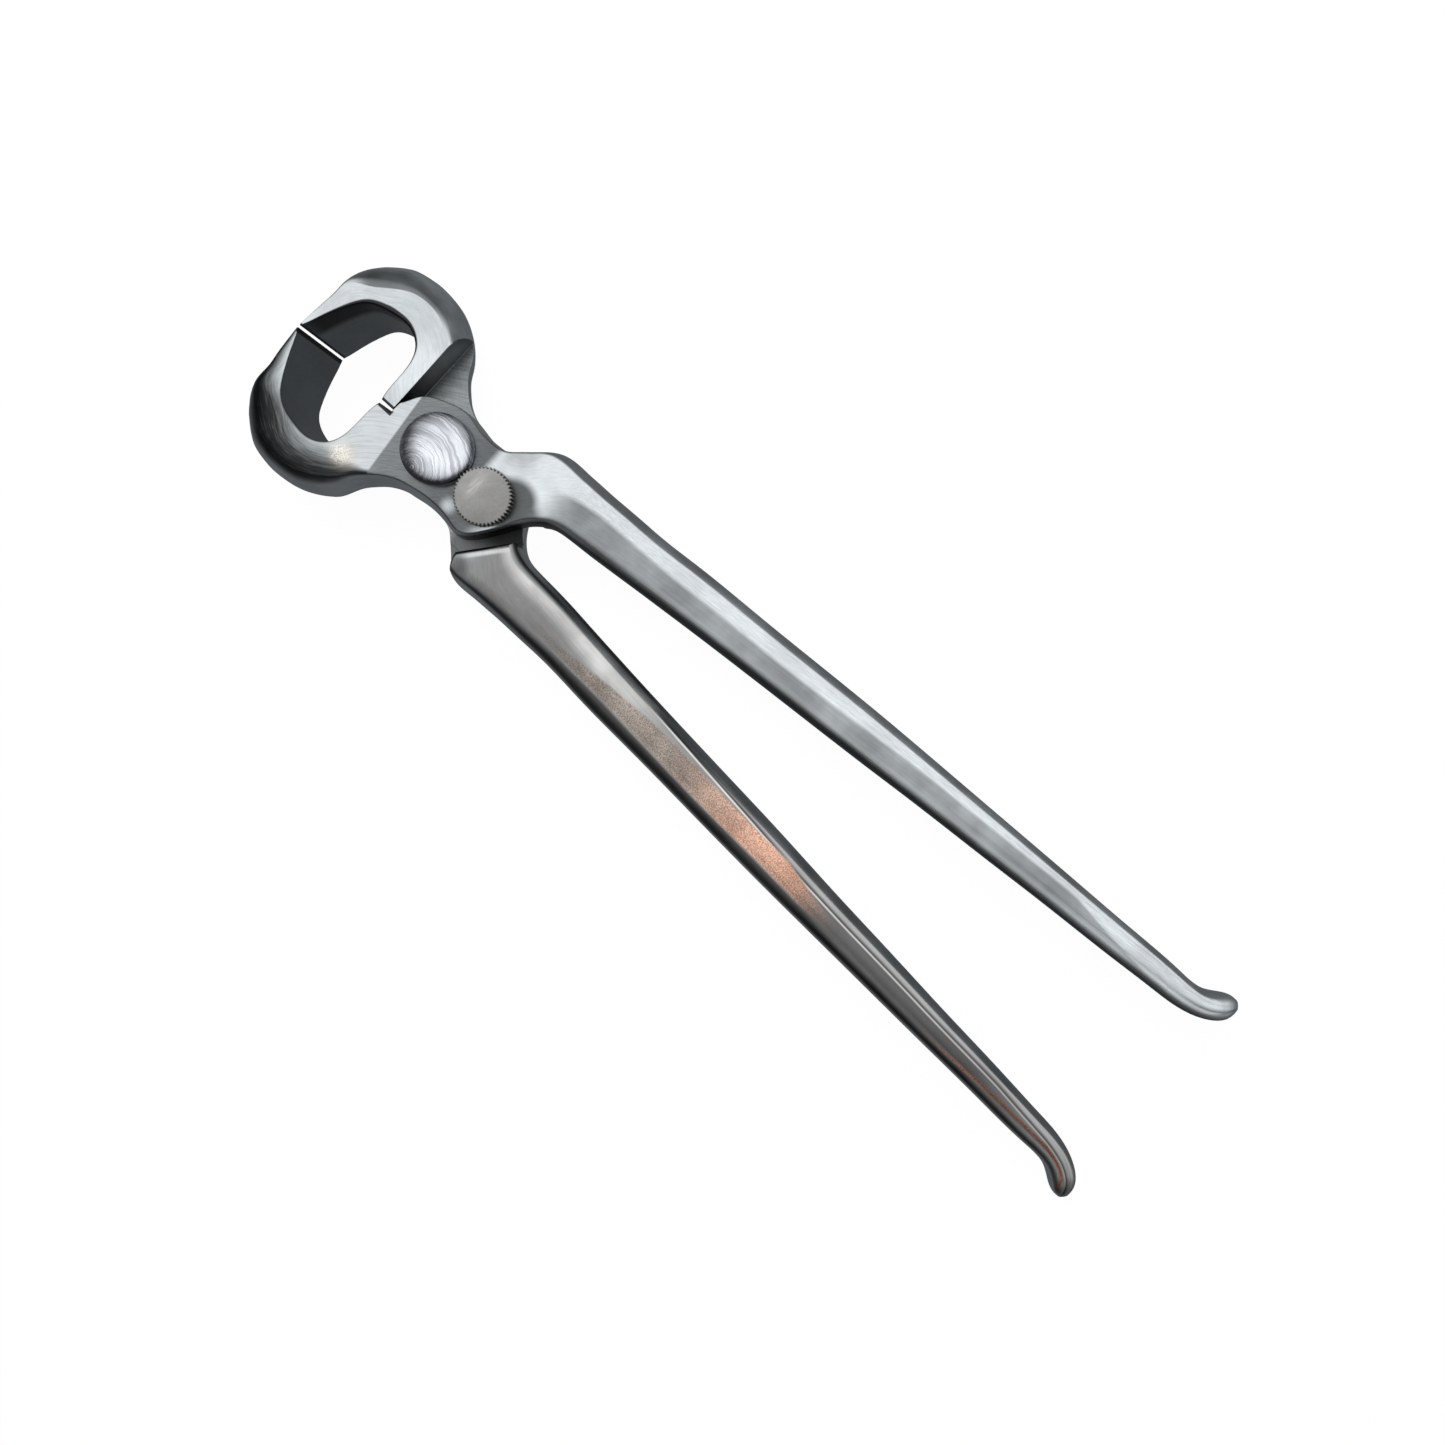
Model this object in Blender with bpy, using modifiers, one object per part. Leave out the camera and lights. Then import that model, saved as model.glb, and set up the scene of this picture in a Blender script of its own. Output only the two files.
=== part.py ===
"""Hoof nipper, 14 inch class: two forged halves in a lap joint, a domed pivot
bolt with its washer, disc spring and nut, and a knurled closing-stop screw.

Blender 4.5, metres. The pivot axis is Z. +Y runs forward along the centreline
to the blades, +X is the right-hand side, and +Z is the side of the domed head.
The origin is the middle of the pivot bolt's flat tail face, so the tool lies
on z = 0. Dimensions are in millimetres, with heights about the middle plane
of the joint, and MID lifts them to that origin. "Front" means the +Z side of
the joint and "back" or "rear" the -Z side.
"""

import math

import bmesh
import bpy
import numpy as np
from mathutils import Matrix, Vector

MM = 0.001
MID = 16.6  # height of the joint's middle plane above the bolt's tail face

# ------------------------------------------------------------------- joint
LAP = 10.2            # outer face of each lap, from the middle plane
LAP_GAP = 0.15        # half the running gap between the two laps
RECESS_Y = 18.75      # jaw-side wall of the lap recess
RECESS_REACH = 55     # half width of the recess cutter
BOSS_R = 18.45        # the boss swings inside this radius, under that wall
BOSS_END = 40.0       # where the throat leaves the boss circle, degrees from +X
STOP_X = 0.6          # stop faces at the throat, off the head's centreline
THROAT_X, THROAT_Y = 50, 32   # right-hand and forward reach of the throat cutter
STEP_A = (19.5, -23.8)    # the rein-side step of the recess runs through
STEP_B = (6.9, -34.0)     # these two points
STEP_ROUND = 2.2          # rounding of the step's outer edge
STEP_HIGH = 9.7           # surface beside the step, from the middle plane
STEP_ROUND_STEPS = 4
CUTTER_PAST = (3.0, 1.5)  # depth and lean of the cutters beyond that surface
CORNER_AT = (19.6, -30.5)      # the step's outer end is dressed to a quarter
CORNER_X, CORNER_Y = 7.6, 6.63     # of a flattened ellipse about this point
CORNER_POWER = 1.17   # above 1 flattens the ellipse
CORNER_STEPS = 8
CORNER_RISE = 0.21    # the corner cutter starts this far past the recess floor
CORNER_REACH = (45, -10.3)     # far corner of its cutter

GAP = 0.3             # between neighbours that touch or nearly touch
BORE_GAP = 0.3        # round the bolt and the stop screw in their holes
THROUGH = 30          # half height of a cutter that goes right through
THROAT_THROUGH = 40

# -------------------------------------------------------------- pivot bolt
BOLT_R = 6.5          # pivot shank
TAIL_R = 6.0          # threaded tail
TAIL_CHAMFER = 0.6
TAIL_PROUD = 0.35     # tail beyond the nut
NECK_LOW = 0.35       # where the square neck ends, above the middle plane
NECK_SQ = 13.4        # square neck, across flats
NECK_CORNER = 0.8     # chamfer on the square's corners
NECK_OVERLAP = 0.4    # how far the neck runs into the head
HEAD_R = 11.1         # domed head
HEAD_LOW = LAP + GAP
HEAD_RIM = 1.7        # height of its cylindrical rim
HEAD_DOME = 3.8       # half an ellipse above the rim
HEAD_CHAMFER = 0.25
HEAD_STEPS = 12
SPOT_R, SPOT_DEEP = 12.4, 1.4   # spotface on the back of the rear half
SPOT_FLOOR = -LAP + SPOT_DEEP

# --------------------------------------------- washer, disc spring and nut
HOLE_R = TAIL_R + GAP
WASHER_R, WASHER_T, WASHER_CHAMFER = 11.6, 1.2, 0.15
WASHER_TOP = SPOT_FLOOR - GAP
DISC_R, DISC_T, DISC_CONE = 10.4, 0.9, 0.5
DISC_TOP = WASHER_TOP - WASHER_T - GAP
NUT_AF = 19.0         # across flats
NUT_TOP = DISC_TOP - DISC_CONE - DISC_T - GAP
NUT_LOW = -MID + TAIL_PROUD
NUT_BEVEL_IN, NUT_BEVEL_HIGH = 0.9, 0.5
NUT_TURN = 12         # first corner of the hexagon, degrees from +X
NUT_CUT_PAST = 3      # the hexagonal cutter beyond each face

# ------------------------------------------------------ closing-stop screw
STOP_AT = (-1.05, -20.42)  # its axis, behind the pivot
KNOB_R = 9.05         # over the knurl
KNOB_TEETH = 46
KNOB_DEEP = 0.65      # knurl depth
KNOB_LOW = LAP + 1.25     # underside of the head
KNOB_RIM = 3.1
KNOB_TOP = KNOB_LOW + KNOB_RIM
KNOB_DOME = 0.8
LOW_BEVEL_IN, LOW_BEVEL_HIGH = 0.5, 0.4    # bevel under the rim
TOP_BEVEL_IN, TOP_BEVEL_HIGH = 0.45, 0.35  # and over it
DOME_INSET = 0.5      # foot of the dome inside the knurl's crests
DOME_SINK = 0.02      # the dome starts this far below the rim's top
DOME_ROOT = 1.0       # its base stands this deep in the rim
DOME_STEPS = 5
SCREW_R = 3.6         # plain shank standing in for the threaded one
SCREW_OVERLAP = 0.6   # how far the shank runs into the head
DOG_R = 2.6           # dog point
DOG_DEEP = 3.4        # how far it reaches below the middle plane
DOG_SHOULDER = 0.5    # height of the taper from shank to dog point
DOG_CHAMFER = 0.4
POCKET_HALF = 3.3     # half the width of the arc pocket
POCKET_DEEP = 4.6
POCKET_TOP = 5        # top of its cutter
POCKET_SWEEP = 62.0   # degrees, anticlockwise from +Z, the way the front half opens
SPLIT_R = 6.6         # split spring washer under the knob
SPLIT_EXTRA = 0.1     # added to GAP inside it
SPLIT_FROM, SPLIT_TO = 50, 400    # degrees from +X
SPLIT_STEPS = 30

# One half, as sections across it from the blade to the end of the rein, drawn
# for the front half. Side A is the outside of the jaw and, along the rein, the
# side that faces the centreline. Side B is the mouth and, along the rein, the
# outward side. Columns: A (x, y), B (x, y), half height A and B, bulge A and B
# at the middle plane, softness of the edges front A, front B, back A, back B.
SECTIONS = (
    ((-0.74, 53.75),   (-0.39, 53.50),   15.35, 15.35, 0.00, 0.00, 0.05, 0.05, 0.05, 0.05),
    ((-4.00, 53.75),   (-2.87, 52.48),   15.05, 15.05, 0.35, 0.00, 0.20, 0.15, 0.20, 0.15),
    ((-9.80, 53.55),   (-7.01, 51.01),   14.60, 14.55, 1.60, 0.00, 0.50, 0.35, 0.50, 0.35),
    ((-15.25, 53.40),  (-11.08, 49.42),  14.15, 14.05, 3.30, 0.00, 2.00, 0.50, 0.80, 0.50),
    ((-20.24, 53.02),  (-15.05, 47.57),  13.75, 13.60, 5.30, 0.00, 2.60, 0.70, 0.90, 0.70),
    ((-23.04, 50.48),  (-18.07, 45.69),  13.45, 13.20, 7.20, 0.00, 3.10, 0.90, 1.00, 0.90),
    ((-25.50, 46.90),  (-20.30, 42.95),  13.10, 12.85, 8.70, 0.00, 3.60, 1.00, 1.10, 1.00),
    ((-28.25, 43.02),  (-21.54, 39.72),  12.80, 12.50, 9.20, 0.00, 4.20, 1.10, 1.10, 1.10),
    ((-31.24, 37.97),  (-22.31, 36.12),  12.30, 12.10, 7.60, 0.00, 4.60, 1.20, 1.10, 1.20),
    ((-32.30, 32.40),  (-22.60, 32.40),  11.90, 11.70, 6.30, 0.00, 4.60, 1.20, 1.10, 1.20),
    ((-31.50, 26.90),  (-21.40, 28.80),  11.50, 11.30, 5.60, 0.00, 4.40, 1.10, 1.10, 1.10),
    ((-29.13, 21.81),  (-18.80, 25.90),  11.10, 11.00, 4.80, 0.00, 3.90, 0.90, 1.10, 0.90),
    ((-26.06, 17.64),  (-15.00, 24.35),  10.80, 10.80, 3.60, 0.00, 3.00, 0.70, 1.00, 0.70),
    ((-22.40, 14.80),  (-10.00, 23.85),  10.50, 10.65, 2.60, 0.00, 2.00, 0.60, 0.90, 0.60),
    ((-19.40, 11.80),  (-4.40, 23.75),   10.30, 10.50, 2.20, 0.00, 1.20, 0.50, 0.80, 0.50),
    ((-16.70, 8.50),   (0.70, 22.40),    10.20, 10.35, 2.00, 0.10, 0.70, 0.50, 0.70, 0.50),
    ((-14.60, 4.90),   (4.00, 18.40),    10.20, 10.20, 2.10, 0.20, 0.70, 0.50, 0.70, 0.50),
    ((-13.50, 1.90),   (9.60, 15.00),    10.20, 10.20, 2.20, 0.25, 0.70, 0.50, 0.70, 0.50),
    ((-12.70, -1.30),  (13.30, 8.70),    10.20, 10.20, 2.40, 0.30, 0.70, 0.50, 0.70, 0.50),
    ((-12.00, -5.20),  (15.20, 1.70),    10.20, 10.20, 2.40, 0.30, 0.70, 0.60, 0.70, 0.60),
    ((-11.70, -9.40),  (13.90, -5.00),   10.20, 10.20, 2.50, 0.50, 0.70, 0.70, 0.70, 0.70),
    ((-12.00, -14.10), (13.70, -10.40),  10.20, 10.20, 2.60, 0.70, 0.70, 0.90, 0.70, 0.90),
    ((-12.90, -18.00), (14.60, -15.00),  10.20, 10.20, 2.30, 0.90, 0.60, 1.00, 0.60, 1.00),
    ((-13.10, -20.80), (17.20, -18.20),  10.20, 10.10, 1.50, 1.10, 0.60, 1.10, 0.50, 1.10),
    ((-11.40, -23.70), (19.80, -21.10),  10.15, 9.80,  0.80, 1.40, 0.70, 1.20, 0.50, 1.20),
    ((-7.90, -26.50),  (22.10, -23.90),  10.05, 9.40,  0.60, 2.00, 0.90, 1.10, 0.50, 1.10),
    ((-4.20, -29.00),  (23.40, -27.20),  9.90,  9.00,  0.60, 2.60, 1.30, 0.90, 0.60, 1.20),
    ((-0.60, -31.20),  (23.70, -31.20),  9.60,  8.70,  0.60, 2.90, 1.90, 0.70, 2.40, 1.40),
    ((2.80, -33.70),   (23.50, -35.20),  9.10,  8.30,  0.80, 3.00, 2.50, 0.60, 2.80, 1.70),
    ((6.90, -38.60),   (23.40, -40.00),  8.40,  7.90,  1.30, 3.05, 2.70, 0.50, 2.80, 2.10),
    ((8.75, -45.20),   (23.40, -46.23),  7.70,  7.40,  1.80, 3.00, 2.80, 0.45, 2.10, 2.50),
    ((9.85, -54.50),   (23.60, -55.02),  6.90,  6.80,  2.30, 3.00, 2.80, 0.40, 1.20, 2.80),
    ((11.25, -66.00),  (23.80, -66.00),  6.30,  6.20,  2.60, 3.00, 3.00, 0.35, 0.70, 3.00),
    ((12.95, -82.00),  (25.00, -81.20),  5.90,  5.85,  2.70, 2.95, 3.00, 0.35, 0.35, 3.00),
    ((15.20, -107.00), (26.40, -106.00), 5.70,  5.70,  2.70, 2.90, 3.00, 0.35, 0.35, 3.00),
    ((17.10, -132.00), (27.90, -131.00), 5.60,  5.60,  2.60, 2.85, 2.90, 0.35, 0.35, 2.90),
    ((19.00, -157.00), (29.40, -156.00), 5.40,  5.40,  2.50, 2.75, 2.80, 0.35, 0.35, 2.80),
    ((21.10, -182.00), (30.60, -181.00), 5.20,  5.20,  2.30, 2.55, 2.60, 0.35, 0.35, 2.60),
    ((22.90, -207.00), (31.70, -206.00), 5.00,  5.00,  2.10, 2.35, 2.40, 0.35, 0.35, 2.40),
    ((24.80, -232.00), (32.80, -231.00), 4.80,  4.80,  1.90, 2.15, 2.20, 0.35, 0.35, 2.20),
    ((26.50, -257.00), (33.80, -256.00), 4.60,  4.60,  1.75, 2.00, 2.00, 0.35, 0.35, 2.00),
    ((28.00, -275.50), (34.50, -274.50), 4.50,  4.50,  1.65, 1.95, 1.90, 0.35, 0.35, 1.90),
    ((28.90, -283.60), (34.70, -282.10), 4.50,  4.50,  1.65, 1.75, 1.90, 0.40, 0.40, 1.90),
    ((30.60, -289.60), (35.50, -286.80), 4.50,  4.50,  1.70, 1.70, 1.90, 0.60, 0.60, 1.90),
    ((33.00, -293.90), (37.10, -290.20), 4.40,  4.40,  1.70, 1.75, 1.90, 0.90, 0.90, 1.90),
    ((35.40, -296.30), (38.90, -292.90), 3.90,  3.90,  1.60, 1.75, 1.70, 1.10, 1.10, 1.70),
    ((37.60, -297.60), (40.30, -295.30), 2.90,  2.90,  1.20, 1.50, 1.20, 1.00, 1.00, 1.20),
    ((39.40, -298.50), (40.90, -297.30), 1.30,  1.30,  0.60, 0.90, 0.50, 0.40, 0.40, 0.50),
)
# Crown of the front and back faces: (section number, mm)
FACE_CROWN = ((0, 0.0), (9, 0.0), (23, 0.0), (27, 0.15), (31, 0.5), (43, 0.4), (47, 0.1))
# The head's centreline stands this far to the left of the pivot: (y, mm)
LEAN = ((-150.0, 0.0), (-60.0, 0.3), (-40.0, 0.6), (-20.0, 1.1), (40.0, 1.1), (54.0, 0.6))
LEAN_THROAT = 0.9     # and this far at the stop faces

# Mesh fineness: stations along the half, and points on each part of a section
STATIONS = 92
SIDE_POINTS = 2
EDGE_POINTS = 2
FACE_POINTS = 3
SOFT_SAMPLES = 96     # steps for measuring an edge's softness down its side
TRAVEL_SAMPLES = 2000
# Stations crowd where the shape changes fast, outside the long run of the rein
REIN_FIRST, REIN_LAST = 31, 40    # section numbers
REIN_DENSITY, END_DENSITY = 1.0, 2.4
ROUND_STEPS = 40


# ------------------------------------------------------------------- scene
def clear_scene():
    for obj in list(bpy.data.objects):
        bpy.data.objects.remove(obj, do_unlink=True)
    for mesh in list(bpy.data.meshes):
        bpy.data.meshes.remove(mesh)


def new_collection(name):
    collection = bpy.data.collections.new(name)
    bpy.context.scene.collection.children.link(collection)
    return collection


clear_scene()
PARTS = new_collection("hoof_nipper")
CUTTERS = new_collection("cutters")


def steel(name, colour, roughness):
    mat = bpy.data.materials.new(name)
    mat.use_nodes = True
    bsdf = mat.node_tree.nodes["Principled BSDF"]
    bsdf.inputs["Base Color"].default_value = (*colour, 1.0)
    bsdf.inputs["Roughness"].default_value = roughness
    bsdf.inputs["Metallic"].default_value = 1.0
    mat.diffuse_color = (*colour, 1.0)
    return mat


STEEL_FRONT = steel("forged_steel_front", colour=(0.62, 0.64, 0.65), roughness=0.34)
STEEL_REAR = steel("forged_steel_rear", colour=(0.52, 0.54, 0.55), roughness=0.36)
STEEL_BOLT = steel("polished_bolt_steel", colour=(0.78, 0.79, 0.80), roughness=0.22)
STEEL_KNOB = steel("knurled_steel", colour=(0.60, 0.59, 0.57), roughness=0.5)
STEEL_WASHER = steel("washer_steel", colour=(0.45, 0.46, 0.47), roughness=0.4)
STEEL_SPRING = steel("spring_steel", colour=(0.25, 0.25, 0.26), roughness=0.4)


def add_object(name, mesh, collection, material=None, at=(0, 0)):
    """Place a mesh, drawn about the joint's middle plane, at that plane's height."""
    obj = bpy.data.objects.new(name, mesh)
    collection.objects.link(obj)
    obj.location = (at[0] * MM, at[1] * MM, MID * MM)
    if material:
        mesh.materials.append(material)
    return obj


def as_cutter(obj):
    obj.hide_render = True
    obj.display_type = "WIRE"
    return obj


def cut(target, cutter, operation="DIFFERENCE"):
    modifier = target.modifiers.new(cutter.name, "BOOLEAN")
    modifier.operation = operation
    modifier.solver = "EXACT"
    modifier.object = cutter


# ------------------------------------------------------------------ solids
def layers(name, loops, collection, material=None):
    """A solid from closed loops of equal length, one after another, as (x, y, z) in mm."""
    bm = bmesh.new()
    rings = [[bm.verts.new(Vector(point) * MM) for point in loop] for loop in loops]
    count = len(rings[0])
    for ring, following in zip(rings, rings[1:]):
        for i in range(count):
            j = (i + 1) % count
            bm.faces.new((ring[i], ring[j], following[j], following[i]))
    bm.faces.new(list(reversed(rings[0])))
    bm.faces.new(rings[-1])
    bmesh.ops.recalc_face_normals(bm, faces=bm.faces)
    bm.normal_update()
    mesh = bpy.data.meshes.new(name)
    bm.to_mesh(mesh)
    bm.free()
    return add_object(name, mesh, collection, material)


def upright(outline, low, high):
    """The loops of a plan outline at two heights."""
    return [[(x, y, z) for x, y in outline] for z in (low, high)]


def prism(name, outline, low, high):
    """Upright cutter over a plan outline."""
    return as_cutter(layers(name, upright(outline, low, high), CUTTERS))


def turned(name, profile, steps, collection, material=None, at=(0, 0)):
    """A solid of revolution about the vertical through at, from (radius, height) points."""
    mesh = bpy.data.meshes.new(name)
    points = [(radius * MM, 0, z * MM) for radius, z in profile]
    mesh.from_pydata(points, [(i, i + 1) for i in range(len(points) - 1)], [])
    obj = add_object(name, mesh, collection, material, at)
    screw = obj.modifiers.new("turn", "SCREW")
    screw.axis = "Z"
    screw.steps = screw.render_steps = steps
    screw.use_merge_vertices = True
    screw.merge_threshold = 0.00001
    screw.use_smooth_shade = True
    return obj


def baked(obj):
    """Apply the object's modifiers and weld its seam, ready for booleans."""
    graph = bpy.context.evaluated_depsgraph_get()
    mesh = bpy.data.meshes.new_from_object(obj.evaluated_get(graph))
    bm = bmesh.new()
    bm.from_mesh(mesh)
    bmesh.ops.remove_doubles(bm, verts=bm.verts, dist=1e-6)
    bm.to_mesh(mesh)
    bm.free()
    obj.modifiers.clear()
    obj.data = mesh
    return obj


# ---------------------------------------------------------------- outlines
def arc(centre, radius, start, end, steps):
    """Points along an arc, both ends included. Angles are in degrees from +X."""
    angles = [math.radians(start + (end - start) * i / steps) for i in range(steps + 1)]
    return [
        (centre[0] + radius * math.cos(angle), centre[1] + radius * math.sin(angle))
        for angle in angles
    ]


def circle(centre, radius, steps, start=0.0):
    return arc(centre, radius, start, start + 360.0, steps)[:-1]


def square(across):
    """A square with chamfered corners."""
    far = across / 2
    near = far - NECK_CORNER
    return [
        (far, -near), (far, near), (near, far), (-near, far),
        (-far, near), (-far, -near), (-near, -far), (near, -far),
    ]


# ------------------------------------------------------------------ curves
def natural_spline(knots, values, at):
    """C2 cubic through the values, one column per coordinate."""
    count = len(knots)
    step = np.diff(knots)
    system = np.zeros((count, count))
    right = np.zeros((count, values.shape[1]))
    system[0, 0] = system[-1, -1] = 1.0
    for i in range(1, count - 1):
        system[i, i - 1] = step[i - 1]
        system[i, i] = 2 * (step[i - 1] + step[i])
        system[i, i + 1] = step[i]
        slope_before = (values[i] - values[i - 1]) / step[i - 1]
        slope_after = (values[i + 1] - values[i]) / step[i]
        right[i] = 6 * (slope_after - slope_before)
    bend = np.linalg.solve(system, right)
    seg = np.clip(np.searchsorted(knots, at, side="right") - 1, 0, count - 2)
    span = step[seg][:, None]
    to_go = (knots[seg + 1] - at)[:, None] / span
    gone = (at - knots[seg])[:, None] / span
    bending = (to_go**3 - to_go) * bend[seg] + (gone**3 - gone) * bend[seg + 1]
    return to_go * values[seg] + gone * values[seg + 1] + bending * span**2 / 6


def monotone(knots, values, at):
    """Cubic through the values that never overshoots them."""
    step = np.diff(knots)
    slope = np.diff(values) / step
    tangent = np.zeros(len(knots))
    tangent[0], tangent[-1] = slope[0], slope[-1]
    for i in range(1, len(knots) - 1):
        if slope[i - 1] * slope[i] > 0:
            before = 2 * step[i] + step[i - 1]
            after = step[i] + 2 * step[i - 1]
            tangent[i] = (before + after) / (before / slope[i - 1] + after / slope[i])
    seg = np.clip(np.searchsorted(knots, at, side="right") - 1, 0, len(knots) - 2)
    span = step[seg]
    t = (at - knots[seg]) / span
    return (
        (2 * t**3 - 3 * t**2 + 1) * values[seg]
        + (t**3 - 2 * t**2 + t) * span * tangent[seg]
        + (-2 * t**3 + 3 * t**2) * values[seg + 1]
        + (t**3 - t**2) * span * tangent[seg + 1]
    )


# ------------------------------------------------------- the forged blank
def side_bulge(z, high, bulge):
    """How far a side stands out at height z: an arc from 0 at its edge to bulge at z = 0."""
    if bulge <= 1e-6:
        return 0.0
    bulge = min(bulge, 0.98 * high)
    radius = (high * high + bulge * bulge) / (2 * bulge)
    return math.sqrt(max(radius * radius - z * z, 0.0)) - math.sqrt(radius * radius - high * high)


def quarter(width, high, bulge, soft):
    """Points (outward, height) from the middle plane up one side and round its edge,
    with the softness that fits."""
    soft = max(min(soft, 0.45 * width, 0.8 * high), 0.02)
    # go down from the edge until one softness of the side is covered
    run = 0.0
    above = high
    for k in range(1, SOFT_SAMPLES):
        z = high * (1 - k / SOFT_SAMPLES)
        outward = side_bulge(z, high, bulge) - side_bulge(above, high, bulge)
        run += math.hypot(outward, high / SOFT_SAMPLES)
        above = z
        if run >= soft:
            break
    start_z = above
    start_out = side_bulge(start_z, high, bulge)
    heights = [start_z * i / SIDE_POINTS for i in range(SIDE_POINTS)]
    points = [(side_bulge(z, high, bulge), z) for z in heights]
    # rounded blend whose control point is the sharp edge itself
    for i in range(EDGE_POINTS + 1):
        t = i / EDGE_POINTS
        out = (1 - t) ** 2 * start_out - t * t * soft
        z = (1 - t) ** 2 * start_z + 2 * t * (1 - t) * high + t * t * high
        points.append((out, z))
    return points, soft


def section_loop(plan, shape, crown):
    """Points in order round one section, as (x, y, z). The columns are those of SECTIONS."""
    a_x, a_y, b_x, b_y = plan
    high_a, high_b, bulge_a, bulge_b, front_a, front_b, back_a, back_b = shape
    width = math.hypot(b_x - a_x, b_y - a_y)
    across_x, across_y = (b_x - a_x) / width, (b_y - a_y) / width

    def face(soft_a, soft_b):
        """One face with its two sides, as (distance from A, height)."""
        side_a, soft_a = quarter(width, high_a, bulge_a, soft_a)
        side_b, soft_b = quarter(width, high_b, bulge_b, soft_b)
        points = [(-out, z) for out, z in side_a]
        for i in range(1, FACE_POINTS):
            t = i / FACE_POINTS
            along = soft_a + (width - soft_a - soft_b) * t
            z = high_a + (high_b - high_a) * along / width + crown * 4 * t * (1 - t)
            points.append((along, z))
        return points + [(width + out, z) for out, z in reversed(side_b)]

    front_face = face(front_a, front_b)
    back_face = face(back_a, back_b)
    loop = front_face + [(along, -z) for along, z in reversed(back_face[1:-1])]
    return [(a_x + across_x * along, a_y + across_y * along, z) for along, z in loop]


def station_places(knots):
    """Where the stations stand along the half."""
    density = [
        REIN_DENSITY if REIN_FIRST <= i <= REIN_LAST else END_DENSITY
        for i in range(len(knots))
    ]
    fine = np.linspace(0, knots[-1], TRAVEL_SAMPLES)
    weight = np.cumsum(np.interp(fine, knots, density))
    at = np.interp(np.linspace(weight[0], weight[-1], STATIONS), weight, fine)
    at[0], at[-1] = 0.0, knots[-1]
    return at


def blank_loops(side):
    """Sections of a half before it is cut. side is 1 for the front half, -1 for the rear."""
    table = np.array([(*a, *b, *shape) for a, b, *shape in SECTIONS], float)
    plans, shapes = table[:, 0:4], table[:, 4:12]
    travel_a = np.linalg.norm(np.diff(plans[:, 0:2], axis=0), axis=1)
    travel_b = np.linalg.norm(np.diff(plans[:, 2:4], axis=0), axis=1)
    knots = np.concatenate([[0.0], np.cumsum((travel_a + travel_b) / 2)])
    at = station_places(knots)
    plan = natural_spline(knots, plans, at)
    for x, y in ((0, 1), (2, 3)):
        plan[:, x] -= side * np.interp(plan[:, y], *zip(*LEAN))
    shape = np.stack([monotone(knots, column, at) for column in shapes.T], 1)
    numbers = np.interp(at, knots, np.arange(len(knots)))
    crowns = np.interp(numbers, *zip(*FACE_CROWN))
    return [section_loop(*row) for row in zip(plan.tolist(), shape.tolist(), crowns.tolist())]


# ------------------------------------------------------- cuts at the joint
def step_line(x, back):
    """y of the rein-side wall of the front half's recess, moved back into the rein."""
    (x0, y0), (x1, y1) = STEP_A, STEP_B
    slope = (y1 - y0) / (x1 - x0)
    return y0 + slope * (x - x0) - back * math.hypot(1.0, slope)


def edge_levels(top):
    """(height, lean) of a wall from top down: upright, then leaning back to round its edge."""
    round_top = -STEP_HIGH + STEP_ROUND
    levels = [(top, 0.0), (round_top, 0.0)]
    for i in range(1, STEP_ROUND_STEPS + 1):
        t = math.pi / 2 * i / STEP_ROUND_STEPS
        levels.append((round_top - STEP_ROUND * math.sin(t), STEP_ROUND * (1 - math.cos(t))))
    deeper, further = CUTTER_PAST
    return levels + [(-STEP_HIGH - deeper, STEP_ROUND + further)]


def recess_cutter(name):
    """Takes the rear lap's room out of the front half, back to the step on the rein side."""
    left, right = -RECESS_REACH, RECESS_REACH
    loops = [
        [
            (left, step_line(left, back), z), (right, step_line(right, back), z),
            (right, RECESS_Y, z), (left, RECESS_Y, z),
        ]
        for z, back in edge_levels(LAP_GAP)
    ]
    return as_cutter(layers(name, loops, CUTTERS))


def corner_cutter(name):
    """Rounds off the outer end of the step."""
    centre_x, centre_y = CORNER_AT
    far_x, far_y = CORNER_REACH
    angles = [math.pi / 2 * i / CORNER_STEPS for i in range(CORNER_STEPS + 1)]
    loops = []
    for z, back in edge_levels(LAP_GAP + CORNER_RISE):
        outline = [
            (
                centre_x + (CORNER_X - back) * math.cos(t) ** CORNER_POWER,
                centre_y + (CORNER_Y - back) * math.sin(t) ** CORNER_POWER,
            )
            for t in angles
        ]
        outline += [(centre_x, far_y), (far_x, far_y), (far_x, centre_y)]
        loops.append([(x, y, z) for x, y in outline])
    return as_cutter(layers(name, loops, CUTTERS))


def throat_cutter(name, side):
    """Clears the other half's boss and leaves the stop face."""
    stop = -STOP_X - side * LEAN_THROAT
    swing = arc((0, 0), BOSS_R, math.degrees(math.acos(stop / BOSS_R)), BOSS_END, 18)
    outline = swing + [(THROAT_X, swing[-1][1]), (THROAT_X, THROAT_Y), (stop, THROAT_Y)]
    return prism(name, outline, -THROAT_THROUGH, THROAT_THROUGH)


def make_half(name, material, side):
    """Both halves are one forging but for the lean. The rear is turned over about
    the centreline. Returns the half and its corner cutter, which cuts last."""
    half = layers(name, blank_loops(side), PARTS, material)
    recess = recess_cutter(name + "_recess")
    corner = corner_cutter(name + "_corner")
    throat = throat_cutter(name + "_throat", side)
    if side < 0:
        for obj in (half, recess, corner, throat):
            obj.data.transform(Matrix.Rotation(math.pi, 4, "Y"))
    cut(half, recess)
    cut(half, throat)
    return half, corner


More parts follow.
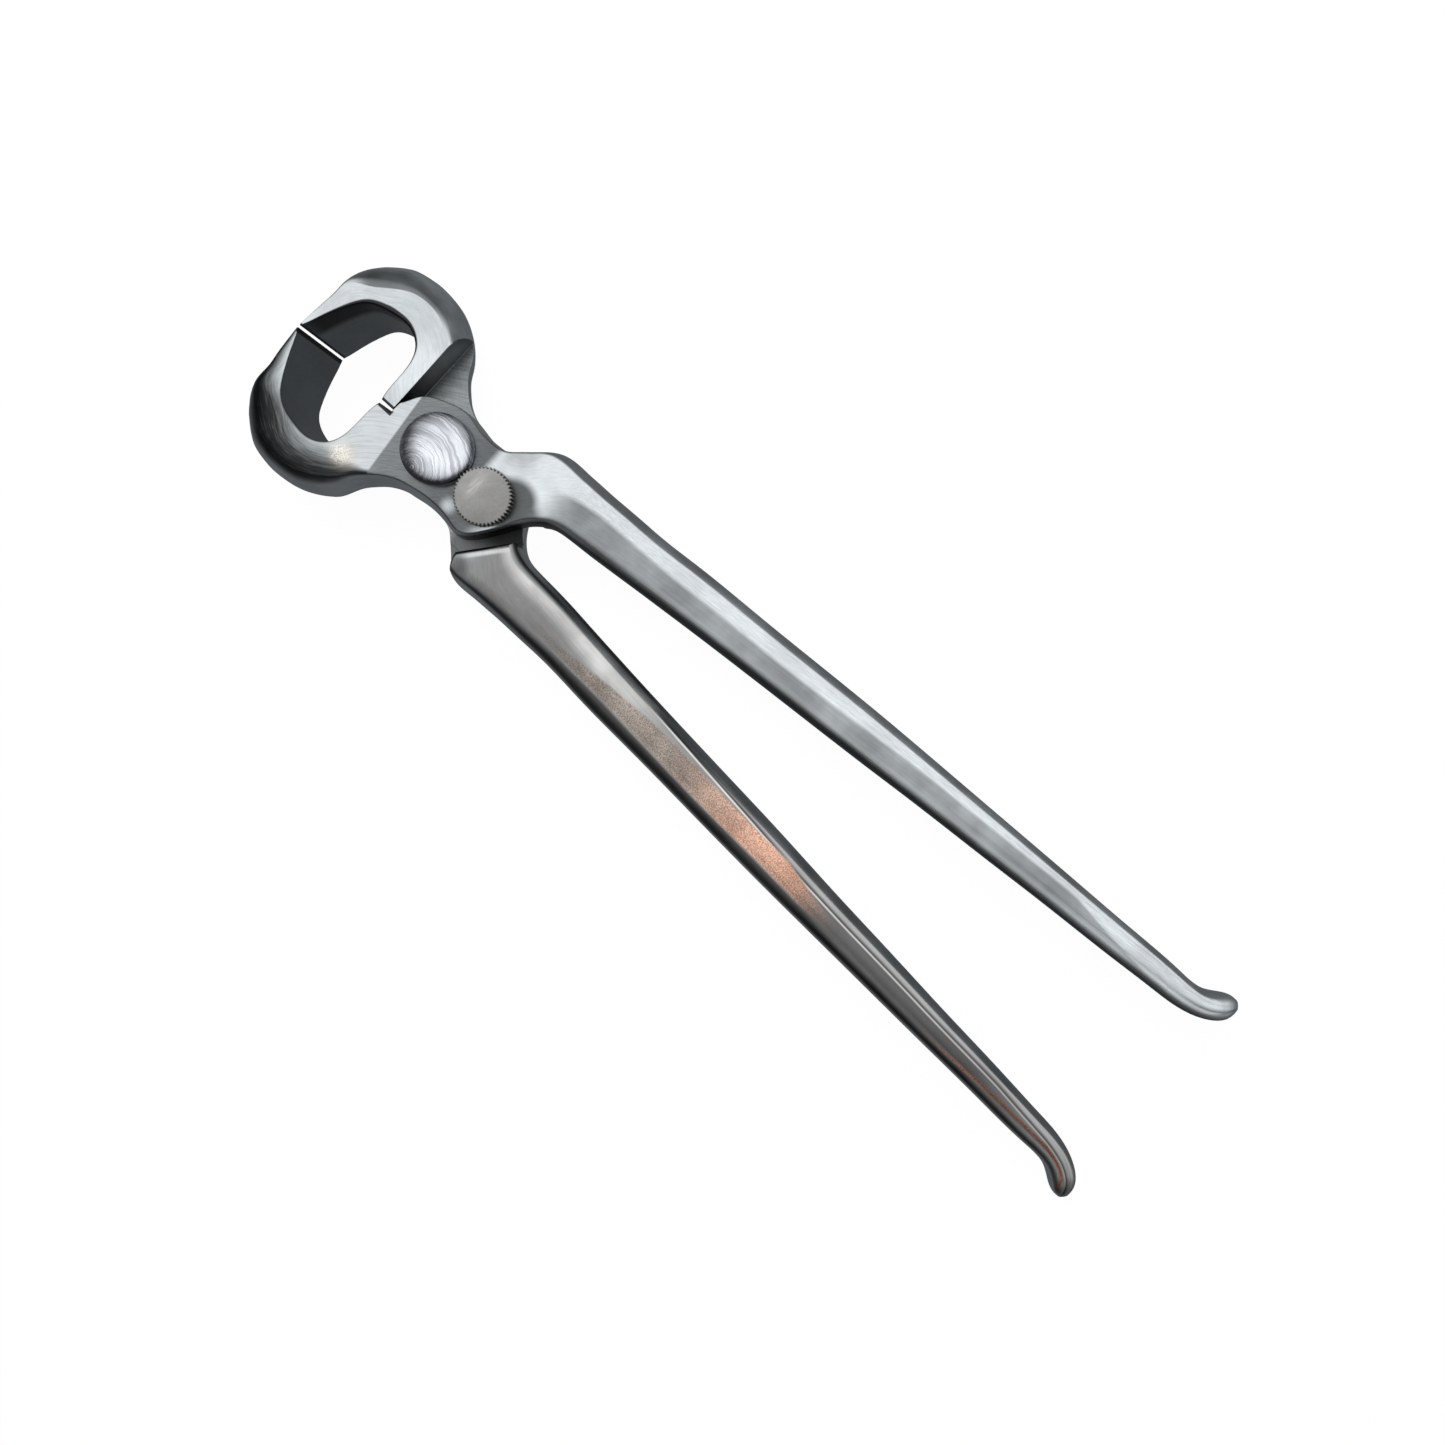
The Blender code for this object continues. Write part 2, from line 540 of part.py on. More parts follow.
def make_front_half():
    """Square hole for the bolt's neck, round hole for the stop screw."""
    half, corner = make_half("front_half", STEEL_FRONT, side=1)
    neck = square(NECK_SQ + 2 * BORE_GAP)
    cut(half, prism("neck_hole", neck, -THROUGH, THROUGH))
    screw = circle(STOP_AT, SCREW_R + BORE_GAP, steps=28)
    cut(half, prism("screw_hole", screw, -THROUGH, THROUGH))
    cut(half, corner)


def pocket_outline():
    """Arc pocket about the pivot, with a round end at the stop screw."""
    track = math.hypot(*STOP_AT)
    start = math.degrees(math.atan2(STOP_AT[1], STOP_AT[0]))
    end = start + POCKET_SWEEP
    outline = arc((0, 0), track + POCKET_HALF, start, end, 14)
    outline += arc((0, 0), track - POCKET_HALF, end, start, 12)[:-1]
    return outline + arc(STOP_AT, POCKET_HALF, start + 180, start + 360, 12)[:-1]


def make_rear_half():
    """Running bore, spotface for the thrust washer, arc pocket for the dog point."""
    half, corner = make_half("rear_half", STEEL_REAR, side=-1)
    bore = circle((0, 0), BOLT_R + BORE_GAP, ROUND_STEPS)
    cut(half, prism("pivot_bore", bore, -THROUGH, THROUGH))
    spot = circle((0, 0), SPOT_R, ROUND_STEPS)
    cut(half, prism("spotface", spot, -THROUGH, SPOT_FLOOR))
    cut(half, prism("stop_pocket", pocket_outline(), -POCKET_DEEP, POCKET_TOP))
    cut(half, corner)


# -------------------------------------------------------- pivot and its stack
def make_bolt():
    """Domed head, square neck, round shank, threaded tail left plain."""
    profile = []
    for i in range(HEAD_STEPS + 1):
        t = math.pi / 2 * i / HEAD_STEPS
        profile.append((HEAD_R * math.sin(t), HEAD_LOW + HEAD_RIM + HEAD_DOME * math.cos(t)))
    profile += [
        (HEAD_R, HEAD_LOW + HEAD_CHAMFER), (HEAD_R - HEAD_CHAMFER, HEAD_LOW),
        (BOLT_R, HEAD_LOW), (BOLT_R, SPOT_FLOOR),
        (TAIL_R, SPOT_FLOOR), (TAIL_R, -MID + TAIL_CHAMFER),
        (TAIL_R - TAIL_CHAMFER, -MID), (0, -MID),
    ]
    bolt = baked(turned("pivot_bolt", profile, ROUND_STEPS, PARTS, STEEL_BOLT))
    neck = prism("bolt_neck", square(NECK_SQ), NECK_LOW, HEAD_LOW + NECK_OVERLAP)
    cut(bolt, neck, "UNION")


def bevelled_ring(outer, top, bottom, bevel_in, bevel_high):
    """Closed profile of a flat ring on the tail, bevelled at its outer edges."""
    return [
        (HOLE_R, bottom), (HOLE_R, top),
        (outer - bevel_in, top), (outer, top - bevel_high),
        (outer, bottom + bevel_high), (outer - bevel_in, bottom),
        (HOLE_R, bottom),
    ]


def make_thrust_washer():
    bottom = WASHER_TOP - WASHER_T
    profile = bevelled_ring(WASHER_R, WASHER_TOP, bottom, WASHER_CHAMFER, WASHER_CHAMFER)
    turned("thrust_washer", profile, ROUND_STEPS, PARTS, STEEL_WASHER)


def make_disc_spring():
    """A cone, highest at its outer rim."""
    inner_top = DISC_TOP - DISC_CONE
    profile = [
        (HOLE_R, inner_top - DISC_T), (HOLE_R, inner_top),
        (DISC_R, DISC_TOP), (DISC_R, DISC_TOP - DISC_T),
        (HOLE_R, inner_top - DISC_T),
    ]
    turned("disc_spring", profile, ROUND_STEPS, PARTS, STEEL_SPRING)


def make_nut():
    """A bevelled ring trimmed to a hexagon."""
    corner_r = NUT_AF / 2 / math.cos(math.pi / 6)
    profile = bevelled_ring(corner_r, NUT_TOP, NUT_LOW, NUT_BEVEL_IN, NUT_BEVEL_HIGH)
    nut = baked(turned("pivot_nut", profile, 36, PARTS, STEEL_WASHER))
    hexagon = circle((0, 0), corner_r, 6, start=NUT_TURN)
    flats = prism("nut_flats", hexagon, NUT_LOW - NUT_CUT_PAST, NUT_TOP + NUT_CUT_PAST)
    cut(nut, flats, "INTERSECT")


# ------------------------------------------------------ closing-stop screw
def knurl(radius, z, deep):
    """Outline of the knurled rim: one crest and one root for each tooth."""
    loop = []
    for i in range(2 * KNOB_TEETH):
        reach = radius - (deep if i % 2 else 0.0)
        angle = math.pi * i / KNOB_TEETH
        x = STOP_AT[0] + reach * math.cos(angle)
        y = STOP_AT[1] + reach * math.sin(angle)
        loop.append((x, y, z))
    return loop


def join_turned(target, name, profile, steps):
    """Add a turned piece on the stop screw's axis to the target."""
    piece = as_cutter(baked(turned(name, profile, steps, CUTTERS, at=STOP_AT)))
    cut(target, piece, "UNION")


def dome_profile():
    """A low spherical cap with its root inside the rim."""
    foot = KNOB_R - DOME_INSET
    radius = (foot**2 + KNOB_DOME**2) / (2 * KNOB_DOME)
    peak = KNOB_TOP - DOME_SINK + KNOB_DOME
    profile = []
    for i in range(DOME_STEPS + 1):
        t = math.asin(foot / radius) * i / DOME_STEPS
        profile.append((radius * math.sin(t), peak - radius * (1 - math.cos(t))))
    return profile + [(foot, KNOB_TOP - DOME_ROOT), (0, KNOB_TOP - DOME_ROOT)]


def make_stop_screw():
    """Knurled head with a low dome, plain shank, dog point in the pocket."""
    rim = [
        knurl(KNOB_R - LOW_BEVEL_IN, KNOB_LOW, 0.0),
        knurl(KNOB_R, KNOB_LOW + LOW_BEVEL_HIGH, KNOB_DEEP),
        knurl(KNOB_R, KNOB_TOP - TOP_BEVEL_HIGH, KNOB_DEEP),
        knurl(KNOB_R - TOP_BEVEL_IN, KNOB_TOP, 0.0),
    ]
    screw = layers("stop_screw", rim, PARTS, STEEL_KNOB)
    join_turned(screw, "knob_cap", dome_profile(), 36)
    shank = [
        (0, KNOB_LOW + SCREW_OVERLAP), (SCREW_R, KNOB_LOW + SCREW_OVERLAP),
        (SCREW_R, NECK_LOW), (DOG_R, NECK_LOW - DOG_SHOULDER),
        (DOG_R, -DOG_DEEP + DOG_CHAMFER), (DOG_R - DOG_CHAMFER, -DOG_DEEP), (0, -DOG_DEEP),
    ]
    join_turned(screw, "screw_shank", shank, 24)


def make_stop_washer():
    """Split spring washer under the knob."""
    inner = SCREW_R + GAP + SPLIT_EXTRA
    outline = arc(STOP_AT, SPLIT_R, SPLIT_FROM, SPLIT_TO, SPLIT_STEPS)
    outline += arc(STOP_AT, inner, SPLIT_TO, SPLIT_FROM, SPLIT_STEPS)
    loops = upright(outline, LAP + GAP, KNOB_LOW - GAP)
    layers("stop_spring_washer", loops, PARTS, STEEL_SPRING)


# ------------------------------------------------------------------ joints
def add_axis(name, x, y, members):
    """An empty on a turning axis, parent of the pieces that turn with it."""
    axis = bpy.data.objects.new(name, None)
    axis.location = (x * MM, y * MM, 0)
    PARTS.objects.link(axis)
    bpy.context.view_layer.update()
    for member in members:
        obj = bpy.data.objects[member]
        obj.parent = axis
        obj.matrix_parent_inverse = axis.matrix_world.inverted()


def smooth(obj):
    obj.data.shade_smooth()
    obj.data.set_sharp_from_angle(angle=math.radians(30.0))


make_front_half()
make_rear_half()
make_bolt()
make_thrust_washer()
make_disc_spring()
make_nut()
make_stop_screw()
make_stop_washer()

add_axis("jaw_pivot", 0.0, 0.0, (
    "front_half", "pivot_bolt", "thrust_washer", "disc_spring", "pivot_nut",
    "stop_spring_washer",
))
add_axis("stop_screw_axis", *STOP_AT, ("stop_screw",))

for part in PARTS.objects:
    if part.type == "MESH":
        smooth(part)
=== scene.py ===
"""Hoof nipper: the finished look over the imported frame.

The two forged halves, the domed pivot bolt, its washer, disc spring and nut, the
knurled stop screw and its spring washer are built at full fineness, each with a
procedural ground-steel material. Metres, +Z towards the domed head, +Y towards the
blades. Design values are in millimetres, with heights from the middle plane of the joint.
"""

import math
from types import SimpleNamespace

import bmesh
import bpy
import numpy as np
from mathutils import Matrix, Vector


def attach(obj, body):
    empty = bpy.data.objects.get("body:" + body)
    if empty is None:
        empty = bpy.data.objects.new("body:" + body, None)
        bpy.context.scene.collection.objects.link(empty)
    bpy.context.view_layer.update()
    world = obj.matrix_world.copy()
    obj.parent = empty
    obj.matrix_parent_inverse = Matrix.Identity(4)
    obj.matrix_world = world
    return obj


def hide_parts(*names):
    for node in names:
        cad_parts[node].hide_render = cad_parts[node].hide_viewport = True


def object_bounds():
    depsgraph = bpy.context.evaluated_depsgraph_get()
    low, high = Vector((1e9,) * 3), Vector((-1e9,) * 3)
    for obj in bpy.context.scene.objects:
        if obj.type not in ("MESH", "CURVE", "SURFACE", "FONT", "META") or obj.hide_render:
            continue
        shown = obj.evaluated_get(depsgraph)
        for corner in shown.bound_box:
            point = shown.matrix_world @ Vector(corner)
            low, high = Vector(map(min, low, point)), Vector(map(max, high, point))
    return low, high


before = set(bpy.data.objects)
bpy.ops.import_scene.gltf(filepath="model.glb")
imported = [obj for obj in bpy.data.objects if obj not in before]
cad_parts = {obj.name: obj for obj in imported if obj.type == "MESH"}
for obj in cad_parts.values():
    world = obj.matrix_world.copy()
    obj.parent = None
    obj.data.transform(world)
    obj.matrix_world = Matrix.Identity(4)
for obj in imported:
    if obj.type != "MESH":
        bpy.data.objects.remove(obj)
CAD_BOX = [[float(c) for c in corner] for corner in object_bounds()]

MM = 0.001
MID = 16.6  # height of the joint's middle plane
GAP = 0.3  # air between neighbouring parts
BORE_GAP = 0.3

# Joint: each half is cut away to the lap between the recess wall and the step
LAP, LAP_GAP = 10.2, 0.15
RECESS_Y, BOSS_R = 18.75, 18.45
STOP_X = 0.6
STEP_A, STEP_B = (19.5, -23.8), (6.9, -34.0)  # two points on the step's edge
STEP_ROUND, STEP_HIGH, STEP_STEPS = 2.2, 9.7, 10
CORNER_AT, CORNER_X, CORNER_Y = (19.6, -30.5), 7.6, 6.63  # centre and half axes
CORNER_FAR, CORNER_TOP, CORNER_POWER, CORNER_STEPS = 45, -10.3, 1.17, 24
CORNER_LIFT = 0.21  # the corner cutter starts this far above the recess cutter
RECESS_SIDE = 55  # the recess cutter reaches this far each way in X
THROAT_FAR, THROAT_TOP, THROAT_TALL = 50, 32, 40
THROUGH = 30  # cutters that pass right through end here

# Pivot bolt and the stack on its tail
BOLT_R, TAIL_R, TAIL_CHAMFER = 6.5, 6.0, 0.6
NECK_LOW, NECK_SQ, NECK_CORNER, NECK_SUNK = 0.35, 13.4, 0.8, 0.4
HEAD_R, HEAD_RIM, HEAD_DOME, HEAD_CHAMFER = 11.1, 1.7, 3.8, 0.25
SPOT_R, SPOT_DEEP = 12.4, 1.4
WASHER_R, WASHER_T, WASHER_ROUND = 11.6, 1.2, 0.2
DISC_R, DISC_T, DISC_CONE = 10.4, 0.9, 0.5
NUT_AF, NUT_TURN, TAIL_PROUD = 19.0, 12, 0.35
HEAD_LOW = LAP + GAP
SPOT_FLOOR = -LAP + SPOT_DEEP
WASHER_TOP = SPOT_FLOOR - GAP
TAIL_HOLE = TAIL_R + GAP
DISC_TOP = WASHER_TOP - WASHER_T - GAP
NUT_TOP = DISC_TOP - DISC_CONE - DISC_T - GAP
NUT_LOW = -MID + TAIL_PROUD

# Stop screw and its pocket
STOP_AT = (-1.05, -20.42)
KNOB_R, KNOB_TEETH, KNOB_DEEP = 9.05, 46, 0.65
KNOB_RISE, KNOB_RIM, KNOB_DOME = 1.25, 3.1, 0.8
KNOB_LOW = LAP + KNOB_RISE
SCREW_R, DOG_R, DOG_DEEP, DOG_CHAMFER = 3.6, 2.6, 3.4, 0.4
SPLIT_R, SPLIT_FROM, SPLIT_TO = 6.6, 50, 400  # spring washer: radius and degrees
POCKET_HALF, POCKET_DEEP, POCKET_SWEEP = 3.3, 4.6, 62.0

# One half, drawn for the front. Columns: x, y of the point on the outer-jaw / hand
# side (A); x, y of the point on the mouth / back side (B); half heights at A, B;
# bulges at the middle plane at A, B; softness of the long edges: upper A, upper B,
# lower A, lower B.
SECTIONS = (
    (-0.74, 53.75, -0.39, 53.50, 15.35, 15.35, 0.00, 0.00, 0.05, 0.05, 0.05, 0.05),
    (-4.00, 53.75, -2.87, 52.48, 15.05, 15.05, 0.35, 0.00, 0.20, 0.15, 0.20, 0.15),
    (-9.80, 53.55, -7.01, 51.01, 14.60, 14.55, 1.60, 0.00, 0.50, 0.35, 0.50, 0.35),
    (-15.25, 53.40, -11.08, 49.42, 14.15, 14.05, 3.30, 0.00, 2.00, 0.50, 0.80, 0.50),
    (-20.24, 53.02, -15.05, 47.57, 13.75, 13.60, 5.30, 0.00, 2.60, 0.70, 0.90, 0.70),
    (-23.04, 50.48, -18.07, 45.69, 13.45, 13.20, 7.20, 0.00, 3.10, 0.90, 1.00, 0.90),
    (-25.50, 46.90, -20.30, 42.95, 13.10, 12.85, 8.70, 0.00, 3.60, 1.00, 1.10, 1.00),
    (-28.25, 43.02, -21.54, 39.72, 12.80, 12.50, 9.20, 0.00, 4.20, 1.10, 1.10, 1.10),
    (-31.24, 37.97, -22.31, 36.12, 12.30, 12.10, 7.60, 0.00, 4.60, 1.20, 1.10, 1.20),
    (-32.30, 32.40, -22.60, 32.40, 11.90, 11.70, 6.30, 0.00, 4.60, 1.20, 1.10, 1.20),
    (-31.50, 26.90, -21.40, 28.80, 11.50, 11.30, 5.60, 0.00, 4.40, 1.10, 1.10, 1.10),
    (-29.13, 21.81, -18.80, 25.90, 11.10, 11.00, 4.80, 0.00, 3.90, 0.90, 1.10, 0.90),
    (-26.06, 17.64, -15.00, 24.35, 10.80, 10.80, 3.60, 0.00, 3.00, 0.70, 1.00, 0.70),
    (-22.40, 14.80, -10.00, 23.85, 10.50, 10.65, 2.60, 0.00, 2.00, 0.60, 0.90, 0.60),
    (-19.40, 11.80, -4.40, 23.75, 10.30, 10.50, 2.20, 0.00, 1.20, 0.50, 0.80, 0.50),
    (-16.70, 8.50, 0.70, 22.40, 10.20, 10.35, 2.00, 0.10, 0.70, 0.50, 0.70, 0.50),
    (-14.60, 4.90, 4.00, 18.40, 10.20, 10.20, 2.10, 0.20, 0.70, 0.50, 0.70, 0.50),
    (-13.50, 1.90, 9.60, 15.00, 10.20, 10.20, 2.20, 0.25, 0.70, 0.50, 0.70, 0.50),
    (-12.70, -1.30, 13.30, 8.70, 10.20, 10.20, 2.40, 0.30, 0.70, 0.50, 0.70, 0.50),
    (-12.00, -5.20, 15.20, 1.70, 10.20, 10.20, 2.40, 0.30, 0.70, 0.60, 0.70, 0.60),
    (-11.70, -9.40, 13.90, -5.00, 10.20, 10.20, 2.50, 0.50, 0.70, 0.70, 0.70, 0.70),
    (-12.00, -14.10, 13.70, -10.40, 10.20, 10.20, 2.60, 0.70, 0.70, 0.90, 0.70, 0.90),
    (-12.90, -18.00, 14.60, -15.00, 10.20, 10.20, 2.30, 0.90, 0.60, 1.00, 0.60, 1.00),
    (-13.10, -20.80, 17.20, -18.20, 10.20, 10.10, 1.50, 1.10, 0.60, 1.10, 0.50, 1.10),
    (-11.40, -23.70, 19.80, -21.10, 10.15, 9.80, 0.80, 1.40, 0.70, 1.20, 0.50, 1.20),
    (-7.90, -26.50, 22.10, -23.90, 10.05, 9.40, 0.60, 2.00, 0.90, 1.10, 0.50, 1.10),
    (-4.20, -29.00, 23.40, -27.20, 9.90, 9.00, 0.60, 2.60, 1.30, 0.90, 0.60, 1.20),
    (-0.60, -31.20, 23.70, -31.20, 9.60, 8.70, 0.60, 2.90, 1.90, 0.70, 2.40, 1.40),
    (2.80, -33.70, 23.50, -35.20, 9.10, 8.30, 0.80, 3.00, 2.50, 0.60, 2.80, 1.70),
    (6.90, -38.60, 23.40, -40.00, 8.40, 7.90, 1.30, 3.05, 2.70, 0.50, 2.80, 2.10),
    (8.75, -45.20, 23.40, -46.23, 7.70, 7.40, 1.80, 3.00, 2.80, 0.45, 2.10, 2.50),
    (9.85, -54.50, 23.60, -55.02, 6.90, 6.80, 2.30, 3.00, 2.80, 0.40, 1.20, 2.80),
    (11.25, -66.00, 23.80, -66.00, 6.30, 6.20, 2.60, 3.00, 3.00, 0.35, 0.70, 3.00),
    (12.95, -82.00, 25.00, -81.20, 5.90, 5.85, 2.70, 2.95, 3.00, 0.35, 0.35, 3.00),
    (15.20, -107.00, 26.40, -106.00, 5.70, 5.70, 2.70, 2.90, 3.00, 0.35, 0.35, 3.00),
    (17.10, -132.00, 27.90, -131.00, 5.60, 5.60, 2.60, 2.85, 2.90, 0.35, 0.35, 2.90),
    (19.00, -157.00, 29.40, -156.00, 5.40, 5.40, 2.50, 2.75, 2.80, 0.35, 0.35, 2.80),
    (21.10, -182.00, 30.60, -181.00, 5.20, 5.20, 2.30, 2.55, 2.60, 0.35, 0.35, 2.60),
    (22.90, -207.00, 31.70, -206.00, 5.00, 5.00, 2.10, 2.35, 2.40, 0.35, 0.35, 2.40),
    (24.80, -232.00, 32.80, -231.00, 4.80, 4.80, 1.90, 2.15, 2.20, 0.35, 0.35, 2.20),
    (26.50, -257.00, 33.80, -256.00, 4.60, 4.60, 1.75, 2.00, 2.00, 0.35, 0.35, 2.00),
    (28.00, -275.50, 34.50, -274.50, 4.50, 4.50, 1.65, 1.95, 1.90, 0.35, 0.35, 1.90),
    (28.90, -283.60, 34.70, -282.10, 4.50, 4.50, 1.65, 1.75, 1.90, 0.40, 0.40, 1.90),
    (30.60, -289.60, 35.50, -286.80, 4.50, 4.50, 1.70, 1.70, 1.90, 0.60, 0.60, 1.90),
    (33.00, -293.90, 37.10, -290.20, 4.40, 4.40, 1.70, 1.75, 1.90, 0.90, 0.90, 1.90),
    (35.40, -296.30, 38.90, -292.90, 3.90, 3.90, 1.60, 1.75, 1.70, 1.10, 1.10, 1.70),
    (37.60, -297.60, 40.30, -295.30, 2.90, 2.90, 1.20, 1.50, 1.20, 1.00, 1.00, 1.20),
    (39.40, -298.50, 40.90, -297.30, 1.30, 1.30, 0.60, 0.90, 0.50, 0.40, 0.40, 0.50),
)
# Crown of the upper and lower faces: (section number, mm)
FACE_CROWN = ((0, 0.0), (9, 0.0), (23, 0.0), (27, 0.15), (31, 0.5), (43, 0.4), (47, 0.1))
# The head's centreline stands this far to -X of the pivot: (y, mm)
LEAN = ((-150.0, 0.0), (-60.0, 0.3), (-40.0, 0.6), (-20.0, 1.1), (40.0, 1.1), (54.0, 0.6))
LEAN_THROAT = 0.9

# Mesh fineness
STATIONS = 400
PLAIN_SECTIONS = (31, 40)  # stations lie closer together outside these sections
CLOSE_DENSITY, PLAIN_DENSITY = 2.4, 1.0
SIDE_POINTS, EDGE_POINTS, FACE_POINTS = 7, 6, 12
ROUND_STEPS = 128


# ---------------------------------------------------------------- mesh tools
def add_mesh(name, bm):
    mesh = bpy.data.meshes.new(name)
    bm.normal_update()
    bm.to_mesh(mesh)
    bm.free()
    obj = bpy.data.objects.new(name, mesh)
    bpy.context.scene.collection.objects.link(obj)
    return obj


def cut(target, cutters, operation="DIFFERENCE"):
    """Applies exact Booleans one after another and removes the cutters."""
    for cutter in cutters:
        modifier = target.modifiers.new(cutter.name, "BOOLEAN")
        modifier.operation = operation
        modifier.solver = "EXACT"
        modifier.object = cutter
    bpy.context.view_layer.update()
    graph = bpy.context.evaluated_depsgraph_get()
    mesh = bpy.data.meshes.new_from_object(target.evaluated_get(graph))
    target.modifiers.clear()
    old = target.data
    target.data = mesh
    bpy.data.meshes.remove(old)
    for cutter in cutters:
        data = cutter.data
        bpy.data.objects.remove(cutter, do_unlink=True)
        bpy.data.meshes.remove(data)


def dress(obj, material, sharp_degrees):
    """Gives a piece its one material and smooth shading up to an angle."""
    obj.data.materials.clear()
    obj.data.materials.append(material)
    obj.data.shade_smooth()
    obj.data.set_sharp_from_angle(angle=math.radians(sharp_degrees))
    return obj


def lift(obj):
    obj.data.transform(Matrix.Translation((0, 0, MID * MM)))
    return obj


def skin(name, loops, turn_caps=False):
    """A closed solid through loops of (x, y, z); turn_caps winds both end caps backwards."""
    bm = bmesh.new()
    rings = [[bm.verts.new(Vector(point) * MM) for point in loop] for loop in loops]
    count = len(rings[0])
    for low, high in zip(rings, rings[1:]):
        for i in range(count):
            j = (i + 1) % count
            bm.faces.new((low[i], low[j], high[j], high[i]))
    first, last = rings[0], rings[-1]
    for cap in (first, last[::-1]) if turn_caps else (first[::-1], last):
        bm.faces.new(cap)
    bmesh.ops.recalc_face_normals(bm, faces=bm.faces)
    return add_mesh(name, bm)


def prism(name, outline, low, high):
    return skin(name, [[(x, y, z) for x, y in outline] for z in (low, high)])


def turned(name, profile, steps, centre=(0, 0)):
    """Revolves a (radius, z) profile, closed where it meets the axis."""
    bm = bmesh.new()

    def vertex(x, y, z):
        return bm.verts.new(((centre[0] + x) * MM, (centre[1] + y) * MM, z * MM))

    columns = []
    for i in range(steps):
        turn = 2 * math.pi * i / steps
        c, s = math.cos(turn), math.sin(turn)
        columns.append([None if r < 1e-9 else vertex(r * c, r * s, z) for r, z in profile])
    poles = {k: vertex(0, 0, z) for k, (r, z) in enumerate(profile) if r < 1e-9}
    for i in range(steps):
        here, after = columns[i], columns[(i + 1) % steps]
        for k in range(len(profile) - 1):
            corners = [
                here[k] or poles[k], here[k + 1] or poles[k + 1],
                after[k + 1] or poles[k + 1], after[k] or poles[k],
            ]
            kept = list(dict.fromkeys(corners))
            if len(kept) > 2:
                bm.faces.new(kept)
    bmesh.ops.remove_doubles(bm, verts=bm.verts, dist=1e-8)
    bmesh.ops.recalc_face_normals(bm, faces=bm.faces)
    return add_mesh(name, bm)


def arc(centre, radius, start, end, steps):
    turns = [math.radians(start + (end - start) * i / steps) for i in range(steps + 1)]
    cx, cy = centre
    return [(cx + radius * math.cos(turn), cy + radius * math.sin(turn)) for turn in turns]


def circle(centre, radius, steps):
    return arc(centre, radius, 0.0, 360.0, steps)[:-1]


def square(across):
    """A square outline with its corners cut off."""
    far = across / 2
    near_end = far - NECK_CORNER
    return [
        (far, -near_end), (far, near_end), (near_end, far), (-near_end, far),
        (-far, near_end), (-far, -near_end), (-near_end, -far), (near_end, -far),
    ]


# ---------------------------------------------------------------- interpolation
def segments(knots, at):
    return np.clip(np.searchsorted(knots, at, side="right") - 1, 0, len(knots) - 2)


def natural_spline(knots, values, at):
    """C2 cubic through the values, one column per coordinate."""
    count = len(knots)
    step = np.diff(knots)
    slope = np.diff(values, axis=0) / step[:, None]
    system = np.zeros((count, count))
    right_side = np.zeros((count, values.shape[1]))
    system[0, 0] = system[-1, -1] = 1.0
    for i in range(1, count - 1):
        system[i, i - 1] = step[i - 1]
        system[i, i] = 2 * (step[i - 1] + step[i])
        system[i, i + 1] = step[i]
        right_side[i] = 6 * (slope[i] - slope[i - 1])
    bend = np.linalg.solve(system, right_side)
    seg = segments(knots, at)
    width = step[seg][:, None]
    before = (knots[seg + 1] - at)[:, None] / width
    after = (at - knots[seg])[:, None] / width
    bending = (before**3 - before) * bend[seg] + (after**3 - after) * bend[seg + 1]
    return before * values[seg] + after * values[seg + 1] + bending * width**2 / 6


def monotone(knots, values, at):
    """Cubic through the values that never overshoots them."""
    step = np.diff(knots)
    slope = np.diff(values) / step
    tangent = np.zeros(len(knots))
    tangent[0], tangent[-1] = slope[0], slope[-1]
    for i in range(1, len(knots) - 1):
        if slope[i - 1] * slope[i] > 0:
            before, after = 2 * step[i] + step[i - 1], step[i] + 2 * step[i - 1]
            tangent[i] = (before + after) / (before / slope[i - 1] + after / slope[i])
    seg = segments(knots, at)
    width = step[seg]
    t = (at - knots[seg]) / width
    return (
        (2 * t**3 - 3 * t**2 + 1) * values[seg]
        + (t**3 - 2 * t**2 + t) * width * tangent[seg]
        + (-2 * t**3 + 3 * t**2) * values[seg + 1]
        + (t**3 - t**2) * width * tangent[seg + 1]
    )


# ---------------------------------------------------------------- forging sections
def side_bulge(z, high, bulge):
    """How far a bulged side stands out at height z."""
    if bulge <= 1e-6:
        return 0.0
    bulge = min(bulge, 0.98 * high)
    radius = (high * high + bulge * bulge) / (2 * bulge)
    return math.sqrt(max(radius * radius - z * z, 0.0)) - math.sqrt(radius * radius - high * high)


def quarter(width, high, bulge, soft):
    """Points (outward, height) up one side and round its edge, and the softness used."""
    soft = max(min(soft, 0.45 * width, 0.8 * high), 0.02)
    samples = 96
    run = 0.0
    # walk down from the edge until the softness is used up
    for k in range(1, samples):
        rise = high * (1 - k / samples)
        above = high * (1 - (k - 1) / samples)
        out = side_bulge(rise, high, bulge) - side_bulge(above, high, bulge)
        run += math.hypot(out, high / samples)
        if run >= soft:
            break
    start = side_bulge(rise, high, bulge)
    heights = [rise * i / SIDE_POINTS for i in range(SIDE_POINTS)]
    points = [(side_bulge(z, high, bulge), z) for z in heights]
    for i in range(EDGE_POINTS + 1):
        t = i / EDGE_POINTS
        x = (1 - t) ** 2 * start - t * t * soft
        z = (1 - t) ** 2 * rise + 2 * t * (1 - t) * high + t * t * high
        points.append((x, z))
    return points, soft


